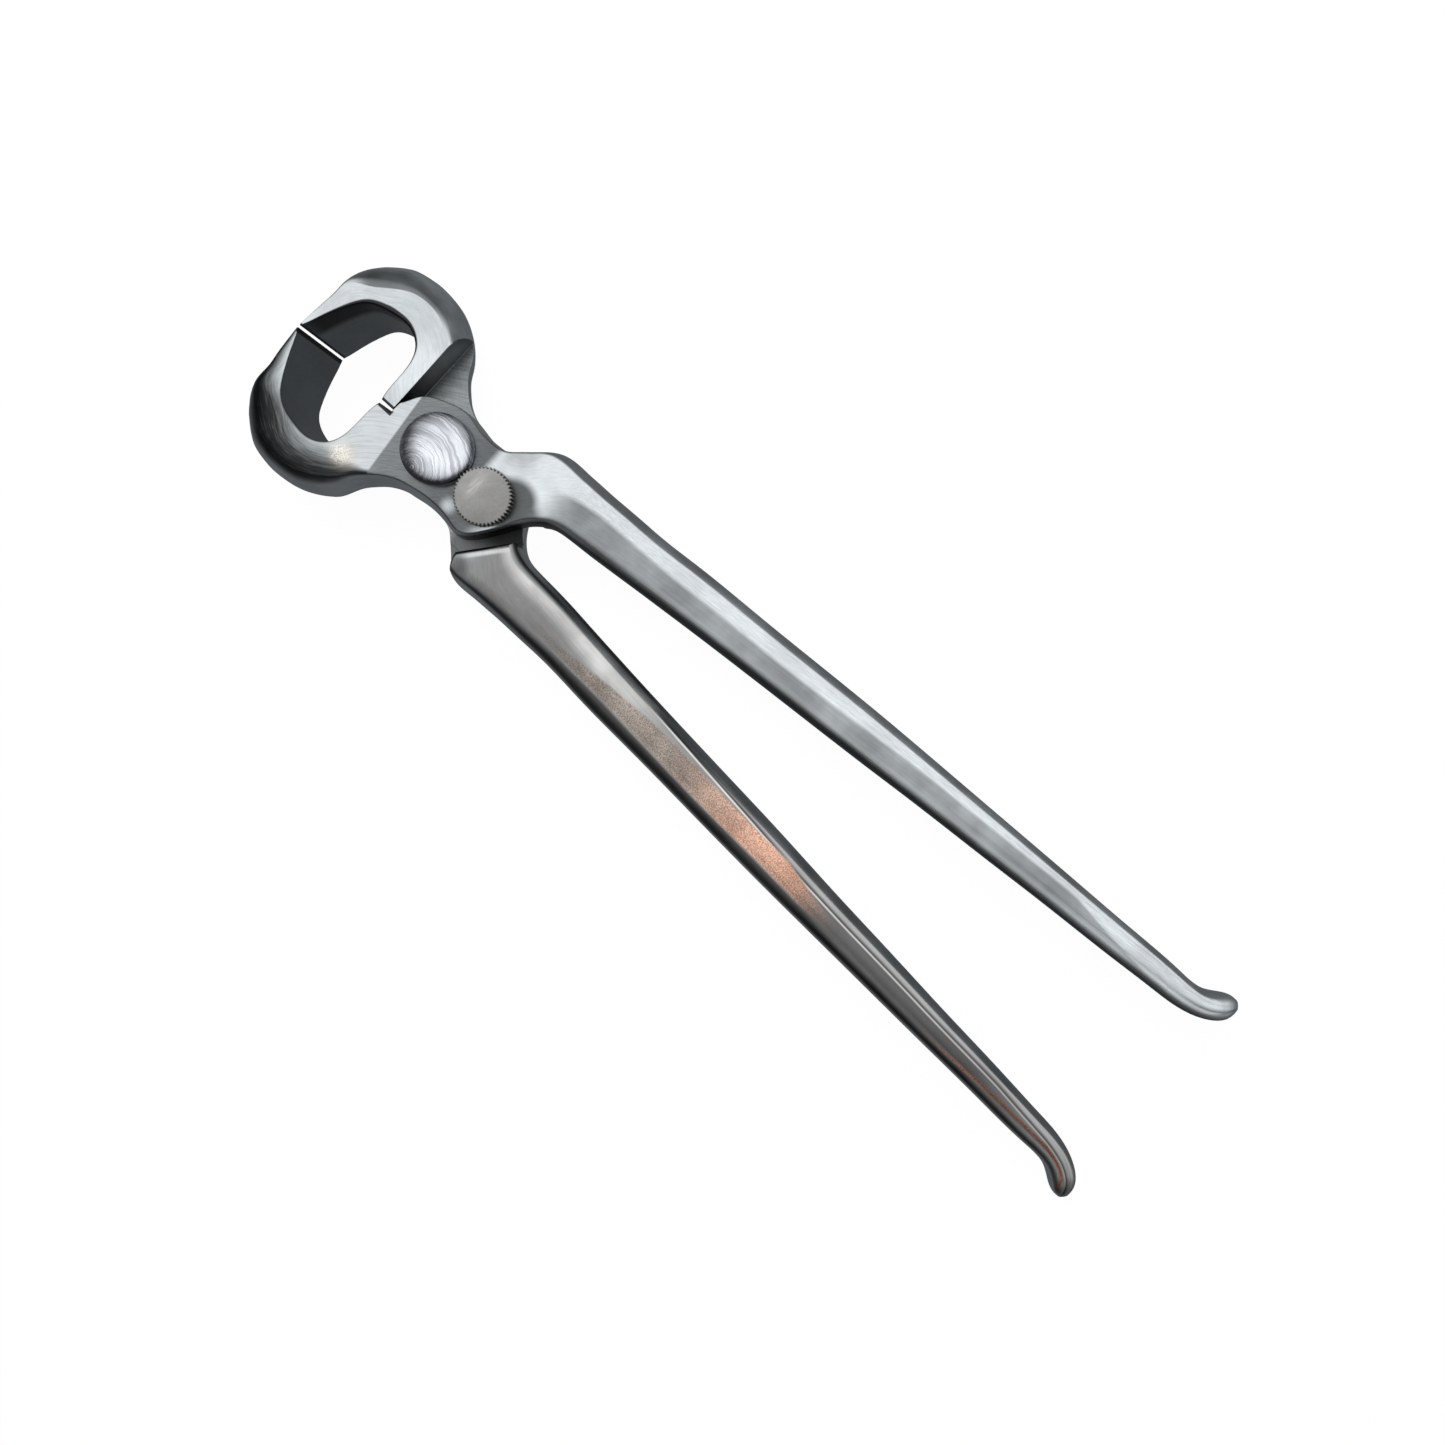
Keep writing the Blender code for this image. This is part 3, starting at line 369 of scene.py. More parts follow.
def section_ring(row, crown):
    """Section points in order round the half, as (x, y, z)."""
    ax, ay, bx, by, high_a, high_b, bulge_a, bulge_b, *softness = row
    width = math.hypot(bx - ax, by - ay)
    ex, ey = (bx - ax) / width, (by - ay) / width

    def outline(soft_a, soft_b):
        left, soft_a = quarter(width, high_a, bulge_a, soft_a)
        right, soft_b = quarter(width, high_b, bulge_b, soft_b)
        points = [(-out, z) for out, z in left]
        span = width - soft_a - soft_b
        for i in range(1, FACE_POINTS):
            t = i / FACE_POINTS
            u = soft_a + span * t
            points.append((u, high_a + (high_b - high_a) * u / width + crown * 4 * t * (1 - t)))
        return points + [(width + out, z) for out, z in reversed(right)]

    top = outline(*softness[:2])
    bottom = outline(*softness[2:])
    loop = top + [(u, -z) for u, z in reversed(bottom[1:-1])]
    return [(ax + ex * u, ay + ey * u, z) for u, z in loop]


def spread_stations(side):
    """Travel from the mouth, section row and crown at every station."""
    table = np.array(SECTIONS, float)
    moves = np.diff(table[:, :4], axis=0)
    travel = np.linalg.norm(moves[:, :2], axis=1) + np.linalg.norm(moves[:, 2:], axis=1)
    knots = np.concatenate([[0.0], np.cumsum(travel / 2)])
    first, last = PLAIN_SECTIONS
    numbers = np.arange(len(knots))
    plain = (numbers >= first) & (numbers <= last)
    density = np.where(plain, PLAIN_DENSITY, CLOSE_DENSITY)
    ruler = np.linspace(0, knots[-1], 2000)
    weight = np.cumsum(np.interp(ruler, knots, density))
    at = np.interp(np.linspace(weight[0], weight[-1], STATIONS), weight, ruler)
    at[0], at[-1] = 0.0, knots[-1]
    plan = natural_spline(knots, table[:, :4], at)
    for x, y in ((0, 1), (2, 3)):
        plan[:, x] -= side * np.interp(plan[:, y], *zip(*LEAN))
    rest = np.stack([monotone(knots, table[:, c], at) for c in range(4, 12)], 1)
    crowns = np.interp(np.interp(at, knots, numbers), *zip(*FACE_CROWN))
    return at, np.hstack([plan, rest]), crowns


# ---------------------------------------------------------------- joint cutters
def step_line(x, back):
    """Y of the step's edge at x, moved back square to the edge."""
    (x0, y0), (x1, y1) = STEP_A, STEP_B
    slope = (y1 - y0) / (x1 - x0)
    return y0 + slope * (x - x0) - back * math.hypot(1.0, slope)


def edge_levels():
    """(height, distance back) down the step, flaring out round its lower edge."""
    foot = -STEP_HIGH + STEP_ROUND
    levels = [(LAP_GAP, 0.0), (foot, 0.0)]
    for i in range(1, STEP_STEPS + 1):
        turn = math.pi / 2 * i / STEP_STEPS
        levels.append((foot - STEP_ROUND * math.sin(turn), STEP_ROUND * (1 - math.cos(turn))))
    return levels + [(-STEP_HIGH - 3.0, STEP_ROUND + 1.5)]


def recess_cutter(name):
    side = RECESS_SIDE
    return skin(name, [
        [(-side, step_line(-side, back), z), (side, step_line(side, back), z),
         (side, RECESS_Y, z), (-side, RECESS_Y, z)]
        for z, back in edge_levels()
    ])


def corner_cutter(name):
    cx, cy = CORNER_AT
    loops = []
    for z, back in [(LAP_GAP + CORNER_LIFT, 0.0)] + edge_levels()[1:]:
        outline = []
        for i in range(CORNER_STEPS + 1):
            turn = math.pi / 2 * i / CORNER_STEPS
            outline.append((
                cx + (CORNER_X - back) * max(math.cos(turn), 0.0) ** CORNER_POWER,
                cy + (CORNER_Y - back) * math.sin(turn) ** CORNER_POWER,
            ))
        outline += [(cx, CORNER_TOP), (CORNER_FAR, CORNER_TOP), (CORNER_FAR, cy)]
        loops.append([(x, y, z) for x, y in outline])
    return skin(name, loops)


def throat_cutter(name, side):
    """Clears the other half's boss, from the stop face to +X."""
    stop = -STOP_X - side * LEAN_THROAT
    swing = arc((0, 0), BOSS_R, math.degrees(math.acos(stop / BOSS_R)), 40, 48)
    far = [(THROAT_FAR, swing[-1][1]), (THROAT_FAR, THROAT_TOP), (stop, THROAT_TOP)]
    return prism(name, swing + far, -THROAT_TALL, THROAT_TALL)


def pocket_outline():
    """The curved slot in which the stop screw's end travels."""
    rest = math.degrees(math.atan2(STOP_AT[1], STOP_AT[0]))
    track = math.hypot(*STOP_AT)
    outline = arc((0, 0), track + POCKET_HALF, rest, rest + POCKET_SWEEP, 40)
    outline += arc((0, 0), track - POCKET_HALF, rest + POCKET_SWEEP, rest, 36)[:-1]
    return outline + arc(STOP_AT, POCKET_HALF, rest + 180, rest + 360, 24)[:-1]


# ---------------------------------------------------------------- shader tools
class Signal:
    """A shader output; arithmetic on it adds Math nodes."""

    def __init__(self, shader, socket):
        self.shader, self.socket = shader, socket

    def math(self, operation, other=0.0, clamp=False):
        return self.shader.math(operation, self, other, clamp)

    def __add__(self, other):
        return self.math("ADD", other)

    def __radd__(self, other):
        return self.shader.math("ADD", other, self)

    def __sub__(self, other):
        return self.math("SUBTRACT", other)

    def __rsub__(self, other):
        return self.shader.math("SUBTRACT", other, self)

    def __mul__(self, other):
        return self.math("MULTIPLY", other)

    def __truediv__(self, other):
        return self.math("DIVIDE", other)

    def __abs__(self):
        return self.math("ABSOLUTE")

    def span(self, start, end, to=(0.0, 1.0), smooth=True):
        """to[0] up to start, to[1] past end; start may be the larger."""
        inputs = {
            "Value": self, "From Min": start, "From Max": end, "To Min": to[0], "To Max": to[1],
        }
        kind = "SMOOTHSTEP" if smooth else "LINEAR"
        return self.shader.add("ShaderNodeMapRange", inputs, clamp=True, interpolation_type=kind)

    def band(self, low, high, soft):
        """1 between low and high, falling to 0 over the soft distance on each side."""
        return self.span(low - soft, low + soft) * self.span(high + soft, high - soft)

    def curve(self, points):
        """Straight lines through (value, result) points."""
        low, high = points[0][0], points[-1][0]
        results = [result for _, result in points]
        least, most = min(results), max(results)
        place = self.span(low, high, smooth=False)
        ramp = self.shader.add("ShaderNodeValToRGB", {0: place})
        # the ramp's own white stop stays at 1, beside the last point
        elements = ramp.socket.node.color_ramp.elements
        for k, (value, result) in enumerate(points):
            at = (value - low) / (high - low)
            element = elements.new(at) if k else elements[0]
            element.position = at
            grey = (result - least) / max(most - least, 1e-9)
            element.color = (grey, grey, grey, 1)
        return ramp.span(0.0, 1.0, to=(least, most), smooth=False)


class Shader:
    """Writes the node tree of a material or a world."""

    def __init__(self, owner):
        owner.use_nodes = True
        self.owner = owner
        self.tree = owner.node_tree

    def put(self, socket, value):
        if isinstance(value, Signal):
            self.tree.links.new(value.socket, socket)
        else:
            socket.default_value = value

    def add(self, kind, inputs=None, output=0, **settings):
        """Adds a node and returns one of its outputs."""
        node = self.tree.nodes.new(kind)
        for key, value in settings.items():
            setattr(node, key, value)
        for key, value in (inputs or {}).items():
            self.put(node.inputs[key], value)
        return Signal(self, node.outputs[output])

    def math(self, operation, first, second=0.0, clamp=False):
        inputs = {0: first, 1: second, 2: 0.0}
        return self.add("ShaderNodeMath", inputs, operation=operation, use_clamp=clamp)

    def noise(self, vector, scale, detail, rough):
        inputs = {"Vector": vector, "Scale": scale, "Detail": detail, "Roughness": rough}
        return self.add("ShaderNodeTexNoise", inputs, output="Fac")

    def streaks(self, x, y, z, detail, rough):
        """Noise stretched by scaling its three coordinates apart."""
        vector = self.add("ShaderNodeCombineXYZ", {0: x, 1: y, 2: z})
        return self.noise(vector, 1.0, detail, rough)

    def mix(self, factor, first, second):
        inputs = {0: factor, 6: first, 7: second}
        return self.add("ShaderNodeMix", inputs, output=2, data_type="RGBA")

    def mix_shader(self, factor, first, second):
        return self.add("ShaderNodeMixShader", {0: factor, 1: first, 2: second})

    def scaled(self, vector, factor):
        return self.add("ShaderNodeVectorMath", {0: vector, 3: factor}, operation="SCALE")

    def split(self, vector):
        separate = self.add("ShaderNodeSeparateXYZ", {0: vector})
        return [Signal(self, out) for out in separate.socket.node.outputs]

    def place(self):
        """Position in millimetres in the object's own space."""
        return self.scaled(self.add("ShaderNodeTexCoord", output="Object"), 1000.0)

    def attribute(self, name):
        return self.add("ShaderNodeAttribute", output="Fac", attribute_name=name)

    def metal(self, colour, bright, roughness, height, relief, strength, rounding, metallic=1.0):
        """Fills the surface; relief and rounding are in metres. Returns the material."""
        rounded = self.add("ShaderNodeBevel", {"Radius": rounding}, samples=4)
        inputs = {"Distance": relief, "Strength": strength, "Height": height, "Normal": rounded}
        surface = self.tree.nodes["Principled BSDF"].inputs
        self.put(surface["Base Color"], self.scaled(colour, bright))
        self.put(surface["Metallic"], metallic)
        self.put(surface["Roughness"], roughness)
        self.put(surface["Normal"], self.add("ShaderNodeBump", inputs))
        return self.owner


def blend(factor, first, second):
    """first where the factor is 0, second where it is 1."""
    return first + factor * (second - first)


def distance(x, y):
    return (x * x + y * y).math("SQRT")


def near(x, y, centre, inner, outer):
    """1 within the inner radius of a point, 0 beyond the outer."""
    return distance(x - centre[0], y - centre[1]).span(outer, inner)


def new_shader(name):
    return Shader(bpy.data.materials.new(name))


# ---------------------------------------------------------------- forged steel
# In the looks below, along is millimetres of travel from the mouth, across is
# millimetres from the A side, and share is across as a part of the width. A tone
# multiplies the steel's colour: 0 is black, 1 plain. In each mask, span(start, end)
# runs from 0 to 1 and near(...) gives centre, inner and outer radius.
SILVER = (0.73, 0.77, 0.79, 1)
WARM_GLINT_SILVER = (0.78, 0.75, 0.68, 1)
REIN_GREY = (0.72, 0.71, 0.69, 1)
TEMPER_BROWN = (0.62, 0.53, 0.46, 1)
TEMPER_COPPER = (0.86, 0.5, 0.36, 1)
SEAM_RED = (0.75, 0.34, 0.22, 1)
# painted shade: tones for the inside of the mouth and for the stop face of the throat
MOUTH_SHADE_TONE, THROAT_SHADE_TONE = 0.42, 0.05

STEP_SLOPE = (STEP_A[1] - STEP_B[1]) / (STEP_A[0] - STEP_B[0])
STEP_RUN = math.hypot(1.0, STEP_SLOPE)
STEP_BACK = STEP_SLOPE * STEP_B[0] - STEP_B[1]

# Curves over the travel along the front half: (along, value)
FRONT_JAW_SHADE_REACH = (  # how far across the painted shade of the forging's roll-off reaches, mm
    (0, 0.8), (8, 3.2), (16, 7.5), (24, 12.0), (34, 14.5), (46, 13.0), (52, 9.0),
    (57, 5.0), (62, 2.2), (68, 0.8), (400, 0.8),
)
FRONT_HIGHLIGHT_FROM = (  # share of the width where the painted highlight along the edge starts
    (110, 0.75), (128, 0.64), (142, 0.7), (158, 0.66), (175, 0.6), (222, 0.58), (242, 0.62),
    (260, 0.7), (318, 0.78), (330, 0.78), (340, 0.55), (360, 0.15), (372, -0.2), (400, -0.2),
)
# Curves over the travel along the rear half: (along, mm across, or tone)
REAR_RIM = ((0, 0.6), (16, 0.8), (24, 1.5), (34, 0.7), (44, 0.3), (56, 0.8), (400, 0.8))
# width of the painted shade along the mouth's front edge, mm
REAR_LIP_SHADE = (
    (0, 0.0), (8, 0.35), (20, 0.9), (32, 1.7), (44, 1.1), (56, 0.5), (70, 0.1), (400, 0.1),
)
REAR_FADE_TONE = (
    (110, 0.5), (124, 0.36), (150, 0.34), (190, 0.5), (215, 0.42), (250, 0.3),
    (290, 0.2), (340, 0.16), (400, 0.14),
)
REAR_LIGHT_EDGE = (
    (110, 9.0), (122, 6.0), (132, 4.0), (146, 3.0), (158, 3.0), (172, 4.2), (188, 4.0),
    (210, 2.2), (240, 2.6), (400, 2.6),
)
REAR_HIGHLIGHT_LINE = (
    (150, -2.6), (188, -0.4), (215, 0.6), (238, 1.4), (262, 2.3), (285, 2.4),
    (350, 2.0), (374, 2.7), (386, 3.0), (400, 3.0),
)
REAR_TEMPER_FROM = (
    (140, 8.4), (160, 7.6), (176, 4.9), (196, 2.3), (217, 1.8), (240, 1.8),
    (256, 1.2), (270, 3.0), (290, 5.0), (400, 5.0),
)
REAR_TEMPER_TO = (
    (140, 11.2), (160, 10.4), (181, 9.3), (203, 9.1), (226, 9.1), (246, 8.4),
    (268, 7.8), (290, 6.0), (400, 6.0),
)
REAR_TEMPER_TONE = (
    (140, 0.42), (180, 0.5), (215, 0.62), (245, 0.78), (262, 0.62), (275, 0.4), (400, 0.4),
)
REAR_SEAM = ((300, 7.6), (334, 6.2), (354, 4.6), (374, 3.4), (386, 3.8), (400, 3.8))


def front_looks(shader, along, across, width, place, facing, grain):
    """Tone and tint of the front half; facing is the normal's Z."""
    x, y, z = place
    share = across / width
    level = facing.span(0.5, 0.85)
    wall = abs(facing).span(0.7, 0.5)

    # jaw: bright beside the mouth, with painted shade darkening it outwards where the forging
    # rolls away
    roll_shade = (across / along.curve(FRONT_JAW_SHADE_REACH)).span(0.1, 1.0).math("POWER", 1.25)
    roll_shade = roll_shade.math("ADD", (grain.coarse - 0.5) * 0.5, clamp=True)
    jaw = level * along.span(80, 66)
    tone = blend(jaw, 1.0, roll_shade.span(0.0, 1.0, to=(0.05, 0.88), smooth=False))
    # painted shade inside the mouth
    tone = blend(wall * along.span(60, 54) * share.span(0.4, 0.6), tone, MOUTH_SHADE_TONE)

    # the boss is ground across and greyer
    boss_edge = x * 0.114 + 13.75
    boss = level * (boss_edge - y).span(-0.35, 0.35) * y.span(-28.0, -21.0)
    boss = boss * (1.0 - y.span(-12.5, -15.5) * x.span(-4.0, 1.0))
    ground = shader.streaks((x + y) * 3.0, (x - y) * 0.15, 0.0, detail=2.0, rough=0.5)
    ground = ground.span(0.35, 0.65, to=(0.85, 1.12))
    tone = blend(boss, tone, y.span(-18, 15, to=(0.2, 0.34)) * ground)

    # root of the rein: lighter, with a soft painted shade under the screw, where the screw's dark
    # side reflects
    shade = near(x, y, (3.4, -27.0), 5.5, 9.0)
    shade = shade.math("MAXIMUM", near(x, y, (0.5, -31.0), 5.0, 9.0))
    root = level * y.span(-14, -18)
    light = grain.patch.span(0.35, 0.65, to=(0.66, 0.92))
    tone = blend(root * near(x, y, (17, -18), 3, 10), tone, light)
    tone = blend(root * shade, tone, 0.16)

    # rein: painted highlight along the back edge, a painted lighter band along the A edge and
    # painted shade on the A side wall
    bright = (share - along.curve(FRONT_HIGHLIGHT_FROM)).span(-0.09, 0.05)
    streak = grain.fine.span(0.3, 0.7, to=(0.86, 1.08))
    rein_shaded = grain.patch.span(0.3, 0.7, to=(0.4, 0.55)) * along.span(130, 190, to=(0.78, 1.0))
    rein = blend(bright, rein_shaded, streak * 0.98)
    rein = blend(across.span(2.4, -0.2) * along.span(150, 175), rein, 0.8)
    tone = blend(level * along.span(122, 136), tone, rein)
    tone = blend(along.span(122, 136) * across.span(0.2, -1.2), tone, 0.16)

    # painted shade on the side wall below the screw
    lower_wall_shade = y.span(-18.0, -22.0) * x.span(8.5, 5.0)
    lower_wall_shade = lower_wall_shade * abs(facing).span(0.85, 0.6) * z.span(25.5, 23.0)
    tone = blend(lower_wall_shade, tone, x.span(-13.0, -8.0, to=(0.1, 0.02)))

    # painted glints: a sparkle on the jaw face and a small highlight on the boss
    painted_glint = level * near(x, y, (-20.5, 21.0), 1.0, 4.5) * grain.grit.span(0.42, 0.6)
    tone = blend(painted_glint, tone, 1.25)
    tone = blend(level * near(x, y, (-10.4, -13.4), 0.2, 3.6), tone, 0.75)
    # painted shade on the stop face of the throat
    stop = abs(x + (STOP_X + LEAN_THROAT)).span(1.0, 0.7)
    tone = blend(y.span(17.6, 18.2) * stop, tone, THROAT_SHADE_TONE)

    # painted warm tint of the glint on the jaw
    warm = level * near(x, y, (-21.5, 20.0), 1.5, 7.0)
    return tone, shader.mix(warm, SILVER, WARM_GLINT_SILVER)


def rear_looks(shader, along, across, width, place, facing, grain):
    """Tone and tint of the rear half; facing is the normal's Z."""
    x, y, z = place
    patch, grit = grain.patch, grain.grit
    share = across / width
    level = facing.span(0.5, 0.85)
    flat = facing.span(0.9, 0.98)
    wall = abs(facing).span(0.7, 0.5)

    jaw = along.span(84, 76)
    tone = blend(jaw * level, 1.0, patch.span(0.35, 0.65, to=(0.88, 1.0)))
    # outer band of the jaw, one even grey: painted light where it slopes and painted shade where
    # it lies level
    outer = along.span(88, 80) * (across - along.curve(REAR_RIM)).span(0.4, 0.0)
    outer = outer * facing.span(0.97, 0.9).math("MAXIMUM", along.band(18, 48, soft=5))
    outer_band_shade = 1.0 - along.band(18, 46, soft=6) * (level * 0.72)
    tone = blend(outer, tone, patch.span(0.3, 0.7, to=(1.0, 1.25)) * outer_band_shade)
    # painted shade inside the mouth, and a black lip of painted shade along its front edge
    tone = blend(wall * along.span(60, 54) * share.span(0.4, 0.6), tone, MOUTH_SHADE_TONE)
    lip_shade = ((width - across) - along.curve(REAR_LIP_SHADE)).span(0.25, -0.25)
    tone = blend(along.span(74, 60) * lip_shade * z.span(20, 24), tone, 0.06)
    # painted shade on the stop face of the throat
    stop = abs(x - (STOP_X - LEAN_THROAT)).span(1.0, 0.7)
    tone = blend(y.span(17.6, 18.2) * stop, tone, THROAT_SHADE_TONE)

    # recess: painted shade on the wall, grey floor ground on the slant, with painted shade beside
    # the wall
    recess_wall_shade = wall * y.band(18.3, 19.2, soft=0.1) * z.span(16.4, 16.8)
    tone = blend(recess_wall_shade, tone, x.span(8, 26, to=(0.05, 0.3)))
    lap = flat * z.span(18.2, 17.4) * z.span(15.4, 15.9)
    ruled = shader.streaks((x + y * 0.6) * 2.6, y * 0.1, 0.0, detail=2.0, rough=0.5)
    ruled = ruled.span(0.35, 0.65, to=(0.36, 0.52))
    tone = blend(lap, tone, ruled * y.span(18.6, 15.5, to=(0.45, 1.0)))

    # rein: painted light along the A side towards the root, brown-grey along the middle,
    # darkening to the hand end, and painted shade towards the B edge
    light = (across - along.curve(REAR_LIGHT_EDGE)).span(3.0, -1.8) * along.span(205, 168)
    fade = along.curve(REAR_FADE_TONE)
    body = blend(light, fade, patch.span(0.3, 0.7, to=(0.72, 0.9)))
    hem = along.span(128, 165, to=(4.0, 1.6))
    far_edge_shade = (width - across + 1.6).math("DIVIDE", hem + 1.6, clamp=True)
    body = body * (far_edge_shade * 0.92 + 0.08)
    tone = blend(along.span(112, 122) * level, tone, body)
    # painted shadow on the lap floor under the front half
    under_front_shade = y.span(-15, -19) * along.span(150, 140) * facing.span(0.8, 0.92)
    under_front_shade = under_front_shade * z.span(17.8, 17.2) * z.span(14.8, 15.4)
    tone = blend(under_front_shade, tone, x.span(-18.5, -8, to=(0.2, 0.035)))

    # floor and walls of the stop pocket, milled, with painted shade darkening them
    pocket_shade = y.span(0, -2) * z.span(16.3, 16.1) * z.span(11.0, 11.4)
    tone = blend(pocket_shade * near(x, y, (0.0, 0.0), 24.2, 24.8), tone, 0.14)

    # painted shade in a strip at the step, with a painted highlight on its rim; behind is the
    # distance from its edge
    behind = x * (-STEP_SLOPE / STEP_RUN) - y / STEP_RUN - STEP_BACK / STEP_RUN
    root = y.span(-19, -20) * along.span(140, 128) * z.span(17.4, 18.4)
    tone = blend(root * behind.span(1.6, 1.0), tone, behind.span(0.3, 1.2, to=(0.04, 0.2)))
    rim_highlight = root * behind.band(1.3, 2.5, soft=0.5) * x.span(-22.8, -20.5)
    tone = blend(rim_highlight * x.span(-5, -12, to=(0.35, 0.9)), tone, 0.95)
    # a grey bevel of painted shade follows the inner edge from the step
    bevel_shade = along.span(112, 118) * along.span(168, 146)
    bevel_shade = bevel_shade * facing.span(0.985, 0.93) * facing.span(0.2, 0.5) * share.span(0.5, 0.4)
    tone = blend(bevel_shade, tone, facing.span(0.5, 0.9, to=(0.25, 0.5)))
    # painted shade at the step's end towards -X
    step_end_shade = z.span(17.4, 18.4) * near(x, y, (-22.0, -27.0), 1.5, 5.5) * 0.8
    tone = blend(step_end_shade, tone, 0.1)

    # a painted highlight line runs down the rein, with a band of painted shade between it and the
    # edge
    off = across - along.curve(REAR_HIGHLIGHT_LINE)
    side_band_shade = along.span(186, 204) * off.span(-0.1, -0.4)
    tone = blend(side_band_shade, tone, off.span(-0.5, -1.7, to=(0.12, 0.6)))
    highlight_line = along.span(180, 200) * off.band(-0.32, 0.22, soft=0.16)
    tone = blend(highlight_line, tone, along.span(200, 380, to=(1.0, 0.55)))
    # painted shade keeps the edge beside the other rein black
    inner_wall_shade = along.span(124, 134) * across.span(-1.3, -2.3) * along.span(210, 186)
    tone = blend(inner_wall_shade, tone, 0.07)

    # temper colour: brown to copper along the outer part of the face
    high, deep = along.curve(REAR_TEMPER_FROM), along.curve(REAR_TEMPER_TO)
    warm = (across - high).span(-0.5, 0.5) * (deep - across).span(-0.7, 0.7)
    warm = warm * along.span(140, 176) * along.span(284, 262) * level
    warm = warm * grain.coarse.span(0.25, 0.5, to=(0.55, 1.0))
    burnt = (across - deep).span(-0.4, 0.9) * along.span(146, 172) * along.span(290, 266) * level
    tone = blend(burnt, tone, 0.13)
    speckle = grit.span(0.36, 0.64, to=(0.6, 1.34)) * patch.span(0.3, 0.7, to=(0.82, 1.15))
    tone = blend(warm, tone, speckle * along.curve(REAR_TEMPER_TONE))
    copper = shader.mix(along.span(200, 245), TEMPER_BROWN, TEMPER_COPPER)
    tint = shader.mix(level * along.span(112, 130) * 0.8, SILVER, REIN_GREY)
    tint = shader.mix(warm, tint, copper)

    # red seam near the hand end
    seam = (across - along.curve(REAR_SEAM)).band(-0.5, 0.5, soft=0.5)
    seam = seam * along.span(318, 340) * level
    tint = shader.mix(seam, tint, SEAM_RED)
    return blend(seam, tone, grit.span(0.4, 0.62, to=(0.25, 0.5))), tint


def forged_steel(name, looks):
    shader = new_shader(name)
    along, across, width = (shader.attribute(key) for key in ("along", "across", "wide"))
    place = shader.place()
    x, y, z = shader.split(place)
    facing = shader.split(shader.add("ShaderNodeNewGeometry", output="Normal"))[2]
    # grinding lines run along the half; a finer set and a slanting set lie over them
    coarse = shader.streaks(across * 2.2, along * 0.05, z * 2.2, detail=4.0, rough=0.6)
    fine = shader.streaks(across * 9.0, along * 0.22, z * 9.0, detail=3.0, rough=0.6)
    skew = shader.streaks(x * 5.0 + y * 5.0, (x - y) * 0.3, z, detail=3.0, rough=0.6)
    patch = shader.noise(place, scale=0.055, detail=3.0, rough=0.55)
    grit = shader.noise(place, scale=2.6, detail=3.0, rough=0.6)
    grain = SimpleNamespace(coarse=coarse, fine=fine, patch=patch, grit=grit)
    bright = coarse.span(0.3, 0.7, to=(0.92, 1.06)) * patch.span(0.3, 0.7, to=(0.88, 1.08))
    bright = bright * fine.span(0.25, 0.75, to=(0.93, 1.05))
    tone, tint = looks(shader, along, across, width, (x, y, z), facing, grain)
    return shader.metal(
        colour=tint,
        bright=bright * tone,
        roughness=patch.span(0.3, 0.7, to=(0.3, 0.38)) + grit * 0.06,
        height=coarse * 0.5 + (fine * 0.55 + skew * 0.25) + grit * 0.15,
        relief=0.00012, strength=0.35, rounding=0.00025,
    )


# ---------------------------------------------------------------- other steels
def plain_steel(name, colour, roughness, ring_relief=0.7):
    """Turned or stamped steel: faint rings about the pivot, patches and grain."""
    shader = new_shader(name)
    place = shader.place()
    x, y, z = shader.split(place)
    rings = shader.streaks(distance(x, y) * 5.0, z * 3.0, 0.0, detail=3.0, rough=0.6)
    patch = shader.noise(place, scale=0.16, detail=3.0, rough=0.6)
    grit = shader.noise(place, scale=4.0, detail=3.0, rough=0.6)
    return shader.metal(
        colour=colour,
        bright=patch.span(0.3, 0.7, to=(0.8, 1.12)) * rings.span(0.3, 0.7, to=(0.9, 1.08)),
        roughness=patch.span(0.3, 0.7, to=(roughness - 0.05, roughness + 0.08)),
        height=rings * ring_relief + grit * 0.4,
        relief=0.00012, strength=0.25, rounding=0.0002,
    )


def dome_steel():
    shader = new_shader("polished_dome_steel")
    place = shader.place()
    x, y, _ = shader.split(place)
    # arcs left by the polishing wheel, about a point off to one side of the head
    wobble = shader.noise(place, scale=0.35, detail=2.0, rough=0.5)
    radius = distance(x + 9.0, y - 1.0) + wobble * 1.4
    arcs = shader.streaks(radius * 1.3, y * 0.05, 0.0, detail=2.0, rough=0.55)
    fine = shader.streaks(radius * 7.0, y * 0.2, 0.0, detail=3.0, rough=0.6)
    patch = shader.noise(place, scale=0.25, detail=3.0, rough=0.6)
    bright = arcs.span(0.4, 0.6, to=(0.68, 1.1)) * fine.span(0.3, 0.7, to=(0.9, 1.05))
    # painted highlight a little to one side, and a crescent of painted shade round the opposite
    # rim, where dark surroundings reflect
    streak = (x + 2.5).band(-1.6, 2.2, soft=1.6) * y.band(-5.5, 6.0, soft=2.5)
    bright = blend(streak * fine.span(0.35, 0.6), bright, 1.4)
    aside = x * -0.8 + y * -0.35
    crescent_shade = (distance(x, y) + aside * 0.2).span(HEAD_R - 0.6, HEAD_R + 1.4)
    bright = blend(crescent_shade * aside.span(-1.0, 4.0), bright, 0.22)
    return shader.metal(
        colour=(0.71, 0.73, 0.78),
        bright=bright,
        roughness=patch.span(0.3, 0.7, to=(0.2, 0.32)),
        height=arcs * 1.0 + fine * 0.35,
        relief=0.00035, strength=0.35, rounding=0.0002,
    )


